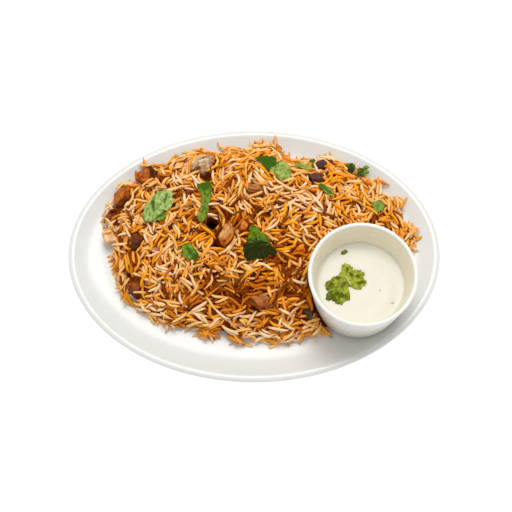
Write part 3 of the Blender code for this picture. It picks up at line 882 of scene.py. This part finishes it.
def paint_meat(light, deep, masala_and_shade):
    """Cooked meat, from light to deep by slow patches and by streaks along the fibres, with specks
    of masala, darker in the grooves, and painted shade on one side."""
    def paint(place):
        streaks = place.mark("fibre").scaled(0.15, 1.0, 1.0).noise(1100.0, 3.0)
        patches = place.noise(190.0, 3.0)
        share = (0.9 * patches + 0.8 * streaks - 0.35).rises(0.25, 0.75)
        marks = place.mark("marks")
        # Masala specks, darker grooves, and painted shade on the side toward the given direction
        masala = place.noise(330.0, 2.0).rises(0.58, 0.72) * 0.3 + 0.5 * marks.axis("X")
        masala = masala + 0.85 * (marks.axis("Y") + 1.2 * (patches - 0.5)).rises(-0.1, 1.0)
        return {
            "Base Color": masala.mix(share.mix(light, deep), masala_and_shade),
            "Roughness": 0.36 + 0.25 * streaks,
            "Normal": (streaks + 0.6 * patches).bump(0.0005, 0.8),
            "Specular IOR Level": 0.2,
        }
    return paint


for seed, (node, (light, deep, ridge, flats, masala_and_shade, way)) in enumerate(CHICKEN_LOOKS.items()):
    meat = make_finish(node + "_meat", paint_meat(display(*light), display(*deep), display(*masala_and_shade)))
    morsel = make_morsel(node + "_morsel", node, ridge, flats, way, 10 * seed, meat)


# Whole spice
# Black cardamom and a curl of cinnamon that were fried with the onions: dry, dark, wrinkled skins
# with a little oil on them.

SPICE_RIDGE = 0.0003
SPICE_FLATS = 5
FIRST_SPICE_SEED = 300

# Each spice's dark skin and its paler ridges
SPICE_SKINS = {
    "spice_back": ((46, 16, 8), (112, 44, 20)),
    "spice_middle": ((52, 20, 12), (124, 56, 34)),
    "spice_by_pot": ((52, 40, 8), (104, 84, 26)),
}


def paint_spice(dark, ridges):
    """A dark skin with paler ridges."""
    def paint(place):
        wrinkles = place.noise(520.0, 4.0)
        return {
            "Base Color": wrinkles.rises(0.40, 0.75).mix(dark, ridges),
            "Roughness": 0.40 + 0.3 * wrinkles,
            "Normal": wrinkles.bump(0.0009, 0.9),
        }
    return paint


for seed, (node, (dark, ridges)) in enumerate(SPICE_SKINS.items()):
    skin = make_finish(node + "_skin", paint_spice(display(*dark), display(*ridges)))
    pod = make_morsel(node + "_pod", node, SPICE_RIDGE, SPICE_FLATS, 0, FIRST_SPICE_SEED + 10 * seed, skin)


# Loose grains of rice
# Long basmati grains, cooked until each stands apart, some left pale, some dyed with saffron and
# some brown with masala. They are dropped one by one, and each bends over those under it.

GRAIN_LENGTH = 0.0136
SHORTEST = 0.0080
LONGEST = 0.0165
STRAY_LENGTH = 0.0092
GRAIN_WIDTH = 0.0024
GRAIN_FLATNESS = (1.05, 0.86)
GRAIN_STATIONS = np.array([-1.0, -0.93, -0.76, -0.45, -0.12, 0.20, 0.52, 0.80, 0.94, 1.0])
MIDDLE_STATION = 4
GRAIN_SIDES = 6

# How many grains are dropped, and how many places and ways to lie each of them tries
DROPS = 38000
PLACES = 3
WAYS = 4

# How a grain lies: the height of its middle over what it lies on, as a share of its radius; how much
# of the highest bump under it lifts all of it; how far it sinks into hollows, as a share and at
# most; and its steepest slope
LIES_AT = 0.8
LIFT = 0.8
SAG = 0.70
MOST_SAG = 0.004
STEEPEST = 0.62
CONTACT = 1.15
FINE_STEPS = 22

# How far the top of the grains may be over the heap's solid, the plate and the chunks, and what
# counts as deep under it
HEAP_FILL = 0.0008
HEAP_SWELL = 0.0013
PLATE_FILL = 0.0030
CHUNK_FILL = 0.0024
DEEP = 0.0030

# Room round the pot, under the leaves and inside the edge of the heap
POT_CLEAR = 0.0014
LEAF_CLEAR = 0.0011
EDGE = 0.0038

# Chunks that have no grains across them
OPEN_CHUNKS = ("chicken_left", "chicken_oval", "chicken_front_left", "chicken_right",
               "chicken_beside_leaf", "spice_middle", "spice_back")

# Where the grains are shorter: place, spreads and weight
SHORT_GRAINS = ((-0.120, 0.010, 0.009, 0.022, 1.0),)

# Grains that fell beside the heap: place, direction in degrees and kind
STRAYS = (
    (-0.1022, -0.0412, 108, 3), (-0.1046, -0.0402, 92, 3), (-0.0998, -0.0425, 126, 3),
    (-0.0450, -0.0706, 170, 1), (-0.0400, -0.0716, 12, 1), (-0.0352, -0.0722, 150, 4),
    (-0.1135, -0.0190, 95, 1), (-0.1165, -0.0090, 60, 0), (0.0160, -0.0790, 20, 1),
    (-0.0050, -0.0780, 160, 1), (0.1330, 0.0150, 60, 2), (0.1348, 0.0120, 20, 3),
    (0.1325, 0.0085, 100, 1), (0.1300, 0.0195, 30, 1), (-0.1255, 0.0255, 105, 1),
    (-0.1240, 0.0300, 60, 0))

rng = np.random.default_rng(11)


def footprint_cells(radius):
    """Offsets of the map's cells that a round of this radius covers, and how far its top falls
    away at each."""
    reach = int(radius / CELL) + 1
    step = np.arange(-reach, reach + 1)
    across, along = [offset.ravel() for offset in np.meshgrid(step, step)]
    away = np.hypot(across, along) * CELL
    inside = away < radius
    return across[inside], along[inside], radius - np.sqrt(radius ** 2 - away[inside] ** 2)


def grain_paths(x, y, turn, length, bend, hook):
    """Points along each grain seen from above: a straight line, bowed by a square law, with one
    end turned further aside."""
    station = GRAIN_STATIONS
    forward = station * length[:, None, None] / 2
    bow = bend[:, None, None] * (station ** 2 - 0.3)
    aside = length[:, None, None] * (bow + hook[:, None, None] * np.clip(station - 0.2, 0, 1) ** 2)
    turn = turn[:, :, None]
    path_x = x[:, :, None] + forward * np.cos(turn) - aside * np.sin(turn)
    path_y = y[:, :, None] + forward * np.sin(turn) + aside * np.cos(turn)
    return path_x, path_y


def near(x, y, places):
    """How near points are to places, each an x, a y, two spreads and a weight, summed as bells."""
    total = np.zeros_like(x)
    for middle_x, middle_y, spread_x, spread_y, weight in places:
        away = ((x - middle_x) / spread_x) ** 2 + ((y - middle_y) / spread_y) ** 2
        total += weight * np.exp(-0.5 * away)
    return total


def nearness_to_edge(x, y):
    """0 well inside the heap, rising to 1 near its edge."""
    return ((0.020 - inside_edge(x, y)) / 0.016).clip(0, 1)


fine = np.linspace(0, len(GRAIN_STATIONS) - 1, FINE_STEPS)
fine_low = fine.astype(int).clip(0, len(GRAIN_STATIONS) - 2)
fine_share = fine - fine_low


def finer(values):
    """Values at a grain's stations, spread evenly over finer steps between them."""
    return values[fine_low] * (1 - fine_share) + values[fine_low + 1] * fine_share


swell = np.sin(210 * map_x) * np.sin(230 * map_y + 1.0) + 0.7 * np.sin(370 * map_x - 310 * map_y)
pile = np.maximum(np.where(inside_edge(map_x, map_y) > CORE_INSET, bed_map, plate_map), chunk_map)
limit = np.where(heap_here, heap_map + HEAP_FILL + HEAP_SWELL * swell, plate_map + PLATE_FILL)
limit = np.minimum(limit - gap_map, edge_top)
inner = grains_here.copy()
for way in all_round(8):
    shift = (round(EDGE / CELL * math.cos(way)), round(EDGE / CELL * math.sin(way)))
    inner &= np.roll(grains_here, shift, (0, 1))
chunk_here = chunk_map > 0
open_core = blurred((seen_from_above(*OPEN_CHUNKS) > 0).astype(float), 12) > 0.80
chunk_edge = chunk_here & ~open_core & (blurred(chunk_here.astype(float), 30) < 0.86)
limit = np.where(chunk_edge, np.maximum(limit, chunk_map + CHUNK_FILL), limit)
heap_round_chunks = blurred(np.where(heap_here, heap_map, plate_map), 10)
barred = chunk_here & ~chunk_edge & (chunk_map > heap_round_chunks - 0.001)
gap_core = gap_map > 0.5 * GAP_DEPTH
from_pot = np.hypot(map_x - POT_MIDDLE[0], map_y - POT_MIDDLE[1]) - POT_CLEAR
pot_ceiling = POT_FOOT + POT_HEIGHT * (from_pot - POT_BASE_RADIUS) / (POT_RIM_RADIUS - POT_BASE_RADIUS)
pot_ceiling = np.where(from_pot < POT_BASE_RADIUS, NOWHERE, pot_ceiling)
ceiling = np.minimum(np.where(leaf_map > 0, leaf_map - LEAF_CLEAR, 1.0), pot_ceiling)

# Every drop tries several places and ways to lie, and takes the one that is lowest in the heap
heap_low, heap_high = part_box("rice_heap")
x = rng.uniform(heap_low.x, heap_high.x, (DROPS, PLACES)).repeat(WAYS, axis=1)
y = rng.uniform(heap_low.y, heap_high.y, (DROPS, PLACES)).repeat(WAYS, axis=1)
flow = 2.0 * np.sin(150 * x + 1.3 * np.sin(130 * y)) + 1.8 * np.sin(140 * y + 1.1 * np.sin(160 * x) + 1)
turn = flow + rng.normal(0, 0.45, x.shape)
turn = np.where(rng.random(x.shape) < 0.4, rng.uniform(0, math.tau, x.shape), turn)
along_edge = np.arctan2((x - HEAP_MIDDLE[0]) * 0.5, -(y - HEAP_MIDDLE[1])) + rng.normal(0, 0.75, x.shape)
turn = np.where((nearness_to_edge(x, y) > 0.05) & (rng.random(x.shape) < 0.75), along_edge, turn)
strays = len(STRAYS)
for stray, (stray_x, stray_y, stray_turn, _) in enumerate(STRAYS):
    x[stray], y[stray], turn[stray] = stray_x, stray_y, math.radians(stray_turn)
length = (GRAIN_LENGTH * rng.normal(1.0, 0.13, DROPS)).clip(SHORTEST, LONGEST)
length[:strays] = STRAY_LENGTH
length *= 1 - 0.4 * near(x[:, 0], y[:, 0], SHORT_GRAINS)
radius = GRAIN_WIDTH / 2 * rng.uniform(0.86, 1.08, DROPS)
bend = rng.normal(0, 0.10, DROPS)
hook = rng.normal(0, 0.25, DROPS)
tilt = rng.normal(0, 0.06, DROPS) + rng.normal(0, 0.28, DROPS) * (rng.random(DROPS) < 0.25)
tilt[:strays] = 0
proud = rng.normal(0, 0.0005, DROPS)
path_x, path_y = grain_paths(x, y, turn, length, bend, hook)
cell_i, cell_j = cells_of(path_x, path_y)
within = grains_here[cell_i, cell_j].sum(axis=2) - 3 * (rng.random(x.shape) < 0.6)
allowed = inner[cell_i[:, :, MIDDLE_STATION], cell_j[:, :, MIDDLE_STATION]] & (within > 4)
allowed &= barred[cell_i, cell_j].sum(axis=2) < 2 + (rng.random(x.shape) < 0.3)
allowed &= gap_core[cell_i, cell_j].sum(axis=2) < 1
stamp_across, stamp_along, stamp_drop = footprint_cells(CONTACT * GRAIN_WIDTH / 2)
station_spread = (GRAIN_STATIONS ** 2).sum()
kept, chosen, heights, sunk = [], [], [], []
for drop in range(DROPS):
    ci, cj = cell_i[drop], cell_j[drop]
    under = pile[ci, cj]
    slope = under @ GRAIN_STATIONS / station_spread
    line = under.mean(axis=1)[:, None] + slope[:, None] * GRAIN_STATIONS
    line += LIFT * (under - line).max(axis=1)[:, None]
    rest = line - SAG * (line - under).clip(0, MOST_SAG)
    for _ in range(2):
        rest[:, 1:-1] = 0.5 * rest[:, 1:-1] + 0.25 * (rest[:, :-2] + rest[:, 2:])
    rest += 0.25 * length[drop] * (abs(tilt[drop]) + tilt[drop] * GRAIN_STATIONS)
    top = rest + 2 * LIES_AT * radius[drop]
    over = (top - limit[ci, cj]).mean(axis=1)
    if drop >= strays:
        lying = abs(rest[:, -1] - rest[:, 0]) < STEEPEST * length[drop]
        over = np.where(allowed[drop] & lying & (top < ceiling[ci, cj]).all(axis=1), over, 1.0)
    best = over.argmin()
    if drop >= strays and over[best] > proud[drop]:
        continue
    middle = rest[best] + LIES_AT * radius[drop]
    kept.append(drop)
    chosen.append(best)
    heights.append(middle)
    sunk.append(-over[best])
    fine_top = finer(middle) + LIES_AT * radius[drop]
    fi, fj = cells_of(finer(path_x[drop, best]), finer(path_y[drop, best]))
    fi = (fi[:, None] + stamp_across).clip(0, MAP_SIZE[0] - 1)
    fj = (fj[:, None] + stamp_along).clip(0, MAP_SIZE[1] - 1)
    np.maximum.at(pile, (fi, fj), fine_top[:, None] - stamp_drop)

path = np.stack([path_x[kept, chosen], path_y[kept, chosen], np.array(heights)], axis=-1)
grain_radius = radius[kept]
grain_x, grain_y = x[kept, chosen], y[kept, chosen]
deep = (np.array(sunk) / DEEP).clip(0, 1)


def grain_mesh(path, radius):
    """Points and faces of many grains: each has rings round its path, blunt at one end and pointed
    at the other, a little flatter than wide, and a point at each end."""
    count = len(path)
    station = np.abs(GRAIN_STATIONS)
    taper = np.where(GRAIN_STATIONS < 0, (1 - station ** 3.4) ** 0.5, (1 - station ** 2.4) ** 0.6)
    rings = tube_along(path, radius[:, None] * taper, GRAIN_SIDES, GRAIN_FLATNESS)[:, 1:-1]
    points = np.concatenate([rings.reshape(count, -1, 3), path[:, :1], path[:, -1:]], axis=1)
    one_faces = closed_skin(np.zeros(rings.shape[1:]), (0, 0, 0), (0, 0, 0))[1]
    shift = (np.arange(count) * points.shape[1])[:, None, None]
    faces = [(one[None] + shift).reshape(-1, one.shape[1]) for one in one_faces]
    return points.reshape(-1, 3), faces


def bake_map(piece, count):
    """A UV map with a cell of its own for each grain: its length across, its girth upwards."""
    columns = math.ceil(math.sqrt(count / 2))
    lines = math.ceil(count / columns)
    rows = len(GRAIN_STATIONS) - 2
    along = (np.arange(rows) + 1.0) / (rows + 1)
    near_side = np.arange(GRAIN_SIDES) / GRAIN_SIDES
    far_side = near_side + 1 / GRAIN_SIDES
    middle = (near_side + far_side) / 2
    quad_u = np.stack([along[:-1], along[:-1], along[1:], along[1:]], axis=1)
    quad_u = np.repeat(quad_u, GRAIN_SIDES, axis=0)
    quad_v = np.tile(np.stack([near_side, far_side, far_side, near_side], axis=1), (rows - 1, 1))
    first_u = np.tile((0, along[0], along[0]), (GRAIN_SIDES, 1))
    last_u = np.tile((1, along[-1], along[-1]), (GRAIN_SIDES, 1))
    first_v = np.stack([middle, far_side, near_side], axis=1)
    last_v = np.stack([middle, near_side, far_side], axis=1)
    cell = np.arange(count)
    corner = np.stack([(cell % columns + 0.05) / columns, (cell // columns + 0.05) / lines], axis=1)
    size = np.array([0.9 / columns, 0.9 / lines])
    sets = []
    for u, v in ((quad_u, quad_v), (first_u, first_v), (last_u, last_v)):
        one = np.stack([u.ravel(), v.ravel()], axis=1)
        sets.append((corner[:, None] + one * size).reshape(-1, 2))
    layer = piece.data.uv_layers.new(name="OFBake")
    layer.uv.foreach_set("vector", np.concatenate(sets).astype(np.float32).ravel())


def paint_rice(light, deep, tip, gloss):
    """One kind of grain: its own shade between light and deep, its tips stained, a film of masala
    in patches, moist and smooth."""
    def paint(place):
        marks = place.mark("grain")
        centred = marks.axis("Z") - 0.5
        ends = centred.maths("ABSOLUTE", centred).rises(0.30, 0.52) * marks.axis("Y")
        cloud = place.noise(260.0, 2.0)
        body = (0.8 * marks.axis("X") + 0.4 * cloud - 0.1).mix(light, deep)
        film = place.noise(110.0, 3.0).rises(0.50, 0.70) * 0.45
        return {
            "Base Color": film.mix(ends.mix(body, tip), display(208, 114, 10)),
            "Roughness": 0.34 + 0.14 * cloud,
            "Normal": place.noise(1500.0, 1.0).bump(0.0001, 0.5),
            "Specular IOR Level": gloss,
        }
    return paint


# Each kind's light and deep colours, the colour of its stained tips, and its gloss
RICE_KINDS = {
    "pale": ((255, 226, 184), (253, 210, 152), (248, 184, 104), 0.30),
    "peach": ((255, 208, 134), (251, 188, 96), (240, 156, 50), 0.22),
    "amber": ((254, 180, 68), (244, 150, 26), (232, 126, 4), 0.10),
    "saffron": ((255, 180, 24), (250, 152, 2), (236, 124, 0), 0.10),
    "masala": ((226, 138, 34), (196, 100, 6), (160, 70, 0), 0.05),
    "dark": ((158, 72, 8), (104, 38, 0), (76, 24, 0), 0.04),
}

# Where the grains are browner, from masala and as painted shade; yellower; and paler, partly as
# painted light: place, spreads and weight
SAUCE_AND_PAINTED_SHADE = (
    (0.018, -0.048, 0.030, 0.010, 1.1), (-0.016, 0.015, 0.020, 0.007, 1.2),
    (-0.100, -0.020, 0.012, 0.014, 0.5), (0.045, -0.020, 0.012, 0.016, 0.5),
    (-0.090, 0.060, 0.020, 0.012, 0.3), (-0.032, 0.006, 0.012, 0.010, 1.0),
    (-0.028, -0.036, 0.012, 0.007, 0.9), (-0.110, 0.034, 0.006, 0.006, 1.2),
    (-0.010, -0.048, 0.016, 0.009, 1.1), (-0.053, -0.047, 0.012, 0.007, 1.2),
    (-0.104, 0.006, 0.010, 0.008, 0.4), (-0.078, -0.044, 0.009, 0.006, 0.7),
    (0.046, -0.048, 0.010, 0.009, 1.2), (0.021, -0.016, 0.010, 0.008, 1.0),
    (0.106, 0.026, 0.012, 0.006, 0.5), (-0.024, 0.034, 0.008, 0.006, 0.6),
    (0.009, -0.061, 0.022, 0.005, 0.8))
GOLDEN = (
    (-0.014, 0.064, 0.020, 0.014, 1.0), (0.064, 0.052, 0.014, 0.012, 0.8),
    (0.028, 0.004, 0.012, 0.014, 0.8), (-0.086, -0.018, 0.008, 0.012, 0.9),
    (-0.047, 0.002, 0.018, 0.007, 0.9), (0.090, 0.030, 0.030, 0.030, 0.3),
    (-0.027, -0.018, 0.010, 0.006, 0.8))
PALE_AND_PAINTED_LIGHT = (
    (-0.118, 0.012, 0.012, 0.014, 1.2), (-0.068, 0.014, 0.016, 0.022, 0.5),
    (-0.003, 0.038, 0.016, 0.012, 0.9), (0.030, 0.022, 0.018, 0.014, 0.8),
    (0.010, -0.076, 0.060, 0.006, 1.4), (0.062, 0.028, 0.020, 0.012, 0.5),
    (-0.052, -0.020, 0.012, 0.008, 0.8), (-0.072, -0.028, 0.010, 0.008, 0.7),
    (-0.050, -0.060, 0.026, 0.007, 0.9), (-0.075, 0.046, 0.012, 0.010, 0.6),
    (0.008, 0.034, 0.014, 0.008, 0.5), (0.068, 0.039, 0.014, 0.008, 0.7))

sauce_and_painted_shade = near(grain_x, grain_y, SAUCE_AND_PAINTED_SHADE)
golden = near(grain_x, grain_y, GOLDEN)
pale = near(grain_x, grain_y, PALE_AND_PAINTED_LIGHT)
rim = nearness_to_edge(grain_x, grain_y)
# Painted shade and light: grains lying deep among the others get darker, oranger kinds, and grains near the
# heap's edge paler ones
weights = np.stack([
    0.19 - 0.12 * sauce_and_painted_shade + 0.25 * pale - 0.10 * deep + 0.05 * rim,
    0.48 - 0.20 * sauce_and_painted_shade - 0.12 * golden - 0.18 * deep + 0.10 * rim,
    0.20 + 0.10 * golden + 0.14 * deep,
    0.06 + 0.32 * golden - 0.04 * sauce_and_painted_shade,
    0.06 + 0.22 * sauce_and_painted_shade - 0.04 * golden + 0.10 * deep - 0.06 * rim,
    0.02 + 0.26 * sauce_and_painted_shade + 0.03 * deep - 0.03 * rim,
], axis=1).clip(0.010, 1)
weights /= weights.sum(axis=1, keepdims=True)
kind = (rng.random(len(path))[:, None] > weights.cumsum(axis=1)).sum(axis=1).clip(0, len(RICE_KINDS) - 1)
kind[:strays] = [stray[3] for stray in STRAYS]
for number, (name, (*tones, gloss)) in enumerate(RICE_KINDS.items()):
    here = kind == number
    count = int(here.sum())
    points, faces = grain_mesh(path[here], grain_radius[here])
    finish = make_finish("rice_" + name, paint_rice(*[display(*tone) for tone in tones], gloss))
    grains = make_piece("rice_" + name, points, faces, finish)
    marks = np.empty((count, len(points) // count, 3))
    marks[:, :, 0] = rng.random(count)[:, None]
    marks[:, :, 1] = rng.random(count)[:, None]
    marks[:, :-2, 2] = np.repeat((GRAIN_STATIONS[1:-1] + 1) / 2, GRAIN_SIDES)
    marks[:, -2:, 2] = (0, 1)
    mark_points(grains, "grain", marks)
    bake_map(grains, count)


# Coriander leaves on the rice
# Fresh leaves strewn over the rice before serving. Some lie flat and some are folded; the darker
# sides and creases of the leaves are painted shade.

# Each leaf's shape, its light and deep green, and where the deep green of its painted shade begins and is
# full
LEAF_LOOKS = {
    "leaf_left": ((24, 0.05, 0.02, 300, (
        (-0.0036, 0.0012, 95, 0.0056, 1.0), (0.0024, -0.0094, 30, 0.0045, 0.9),
        (0.0066, 0.0063, 85, 0.0050, 0.5))),
        (186, 206, 122), (70, 106, 12), 0.75, 1.15),
    "leaf_long": ((20, 0.05, -0.06, 75, (
        (0.0010, 0.0125, 20, 0.0050, 0.6), (-0.0010, -0.0060, 80, 0.0090, 0.35))),
        (136, 156, 48), (66, 96, 6), 0.50, 0.95),
    "leaf_top": ((24, 0.04, 0.00, 142, (
        (0.0010, 0.0050, 40, 0.0050, 0.8), (-0.0060, -0.0010, 160, 0.0030, 0.5))),
        (178, 196, 98), (58, 90, 6), 0.46, 0.68),
    "leaf_big": ((22, 0.04, -0.05, 262, ((0.0010, 0.0020, 175, 0.0060, 0.5),)),
        (104, 136, 18), (36, 42, 2), 0.32, 0.62),
    "leaf_small": ((14, 0.05, 0.00, 320, ((-0.0004, 0.0000, 130, 0.0040, 0.6),)),
        (126, 156, 48), (56, 92, 14), 0.50, 1.10),
    "leaf_right": ((12, 0.05, 0.05, 90, ((0.0000, -0.0008, 60, 0.0028, 0.4),)),
        (146, 168, 76), (96, 128, 44), 0.50, 1.10),
    "leaf_sprig": ((14, 0.10, 0.05, 200, ((0.0004, 0.0000, 55, 0.0040, 0.6),)),
        (120, 150, 40), (48, 74, 6), 0.35, 0.90),
    "leaf_curl": ((10, 0.12, -0.10, 260, ((-0.0004, 0.0004, 80, 0.0040, 0.8),)),
        (90, 116, 22), (34, 50, 2), 0.25, 0.80),
    "leaf_slim_back": ((10, 0.05, 0.05, 200, ((0.0000, 0.0000, 172, 0.0050, 0.5),)),
        (178, 186, 92), (124, 142, 52), 0.50, 1.10),
    "leaf_slim_right": ((10, 0.05, 0.05, 140, ((0.0000, 0.0000, 140, 0.0050, 0.6),)),
        (146, 170, 70), (66, 106, 28), 0.40, 0.95),
}
for node, (look, light, deep, dark_from, dark_to) in LEAF_LOOKS.items():
    green = make_finish(node + "_green", paint_leaf(display(*light), display(*deep), dark_from, dark_to))
    make_leaf(node + "_fresh", node, look, 0.0, green)


# Small bits on the rice
# Chopped coriander stalk and leaf, and shreds of fried onion from the masala, that fell with the
# grains.

def on_rice(x, y, lift):
    """The point this far over the top of the grains at a place."""
    i, j = cells_of(np.array([x]), np.array([y]))
    return np.array([x, y, pile[i[0], j[0]] + lift])


ONION_RADIUS = 0.00075
ONION_ARCH = 0.0010
ONION_LIFT = 0.0002

# Place, direction in degrees and half length of each shred of onion
ONION_SHREDS = (
    (-0.0120, 0.0205, 20, 0.0052), (0.0040, 0.0250, 165, 0.0042), (0.0210, -0.0440, 35, 0.0050),
    (-0.0620, -0.0320, 110, 0.0040), (0.0350, -0.0300, 70, 0.0046), (-0.0880, 0.0480, 20, 0.0040),
    (0.0330, -0.0580, 150, 0.0044), (-0.0200, -0.0260, 15, 0.0046), (-0.0352, 0.0641, 80, 0.0022),
    (-0.0416, 0.0755, 95, 0.0034), (-0.0565, 0.0765, 60, 0.0030), (-0.0030, 0.0120, 160, 0.0046))

deep_bit = make_finish("deep_bit", paint_flake(display(92, 108, 14), display(48, 60, 2)))
onion = make_finish("onion_brown", paint_flake(display(150, 78, 26), display(88, 38, 12)))
make_flake("herb_bit_back", on_rice(0.0480, 0.0713, 0.0006), 0.0040, 1.2, 0.0010, deep_bit)
make_flake("herb_bit_middle", on_rice(-0.0470, -0.0215, 0.0002), 0.0026, 0.4, 0.0005, deep_bit)
make_stalk("herb_stalk_top", on_rice(0.0235, 0.0535, 0.0008), on_rice(0.0290, 0.0445, 0.0006),
           0.0006, 0.00055, stalk_green)
make_stalk("herb_stalk_left", on_rice(-0.0870, 0.0350, 0.0004), on_rice(-0.0830, 0.0275, 0.0004),
           0.0004, 0.00045, stalk_green)
for number, (x, y, way, size) in enumerate(ONION_SHREDS):
    reach = size * np.array([math.cos(math.radians(way)), math.sin(math.radians(way))])
    start = on_rice(x - reach[0], y - reach[1], ONION_LIFT)
    end = on_rice(x + reach[0], y + reach[1], ONION_LIFT)
    make_stalk(f"onion_{number}", start, end, ONION_ARCH, ONION_RADIUS, onion)


# Floor, light and camera
# A plain white floor, an even white surround and one large soft light behind and above the plate.

def paint_floor(place):
    """Plain white, lit evenly from within like a light table."""
    return {
        "Base Color": place.noise(2.0).mix(display(90, 90, 90), display(88, 88, 88)),
        "Roughness": 0.9,
        "Emission Color": (1.0, 1.0, 1.0, 1.0),
        "Emission Strength": 0.95,
    }


corners = np.array([(-3.0, -3.0, 0.0), (3.0, -3.0, 0.0), (3.0, 3.0, 0.0), (-3.0, 3.0, 0.0)])
floor_mesh = bpy.data.meshes.new("floor")
floor_mesh.from_pydata(corners.tolist(), [], [(0, 1, 2, 3)])
floor_mesh.materials.append(make_finish("floor_white", paint_floor))
floor = add_object("floor", floor_mesh)

world = bpy.data.worlds.new("studio")
world.use_nodes = True
surround = world.node_tree.nodes["Background"]
surround.inputs["Color"].default_value = (1.0, 1.0, 1.0, 1.0)
surround.inputs["Strength"].default_value = 0.64
bpy.context.scene.world = world


def add_facing(name, data, place, aim):
    """A light or camera at a place, turned to face its aim."""
    made = add_object(name, data)
    made.location = place
    made.rotation_euler = (Vector(aim) - Vector(place)).to_track_quat("-Z", "Y").to_euler()
    return made


key = bpy.data.lights.new("key", "AREA")
key.size = 0.60
key.energy = 7.0
add_facing("key", key, (0.06, 0.36, 1.12), (0, 0, 0.02))

VIEW_HEIGHT = math.radians(70)
VIEW_DISTANCE = 0.95
VIEW_ANGLE = math.radians(25.0)
aim = Vector((0.0016, -0.003, 0.012))
viewpoint = aim + VIEW_DISTANCE * Vector((0, -math.cos(VIEW_HEIGHT), math.sin(VIEW_HEIGHT)))
camera = add_facing("camera", bpy.data.cameras.new("camera"), viewpoint, aim)
camera.data.angle = VIEW_ANGLE
bpy.context.scene.camera = camera
bpy.context.scene.view_settings.view_transform = "Standard"
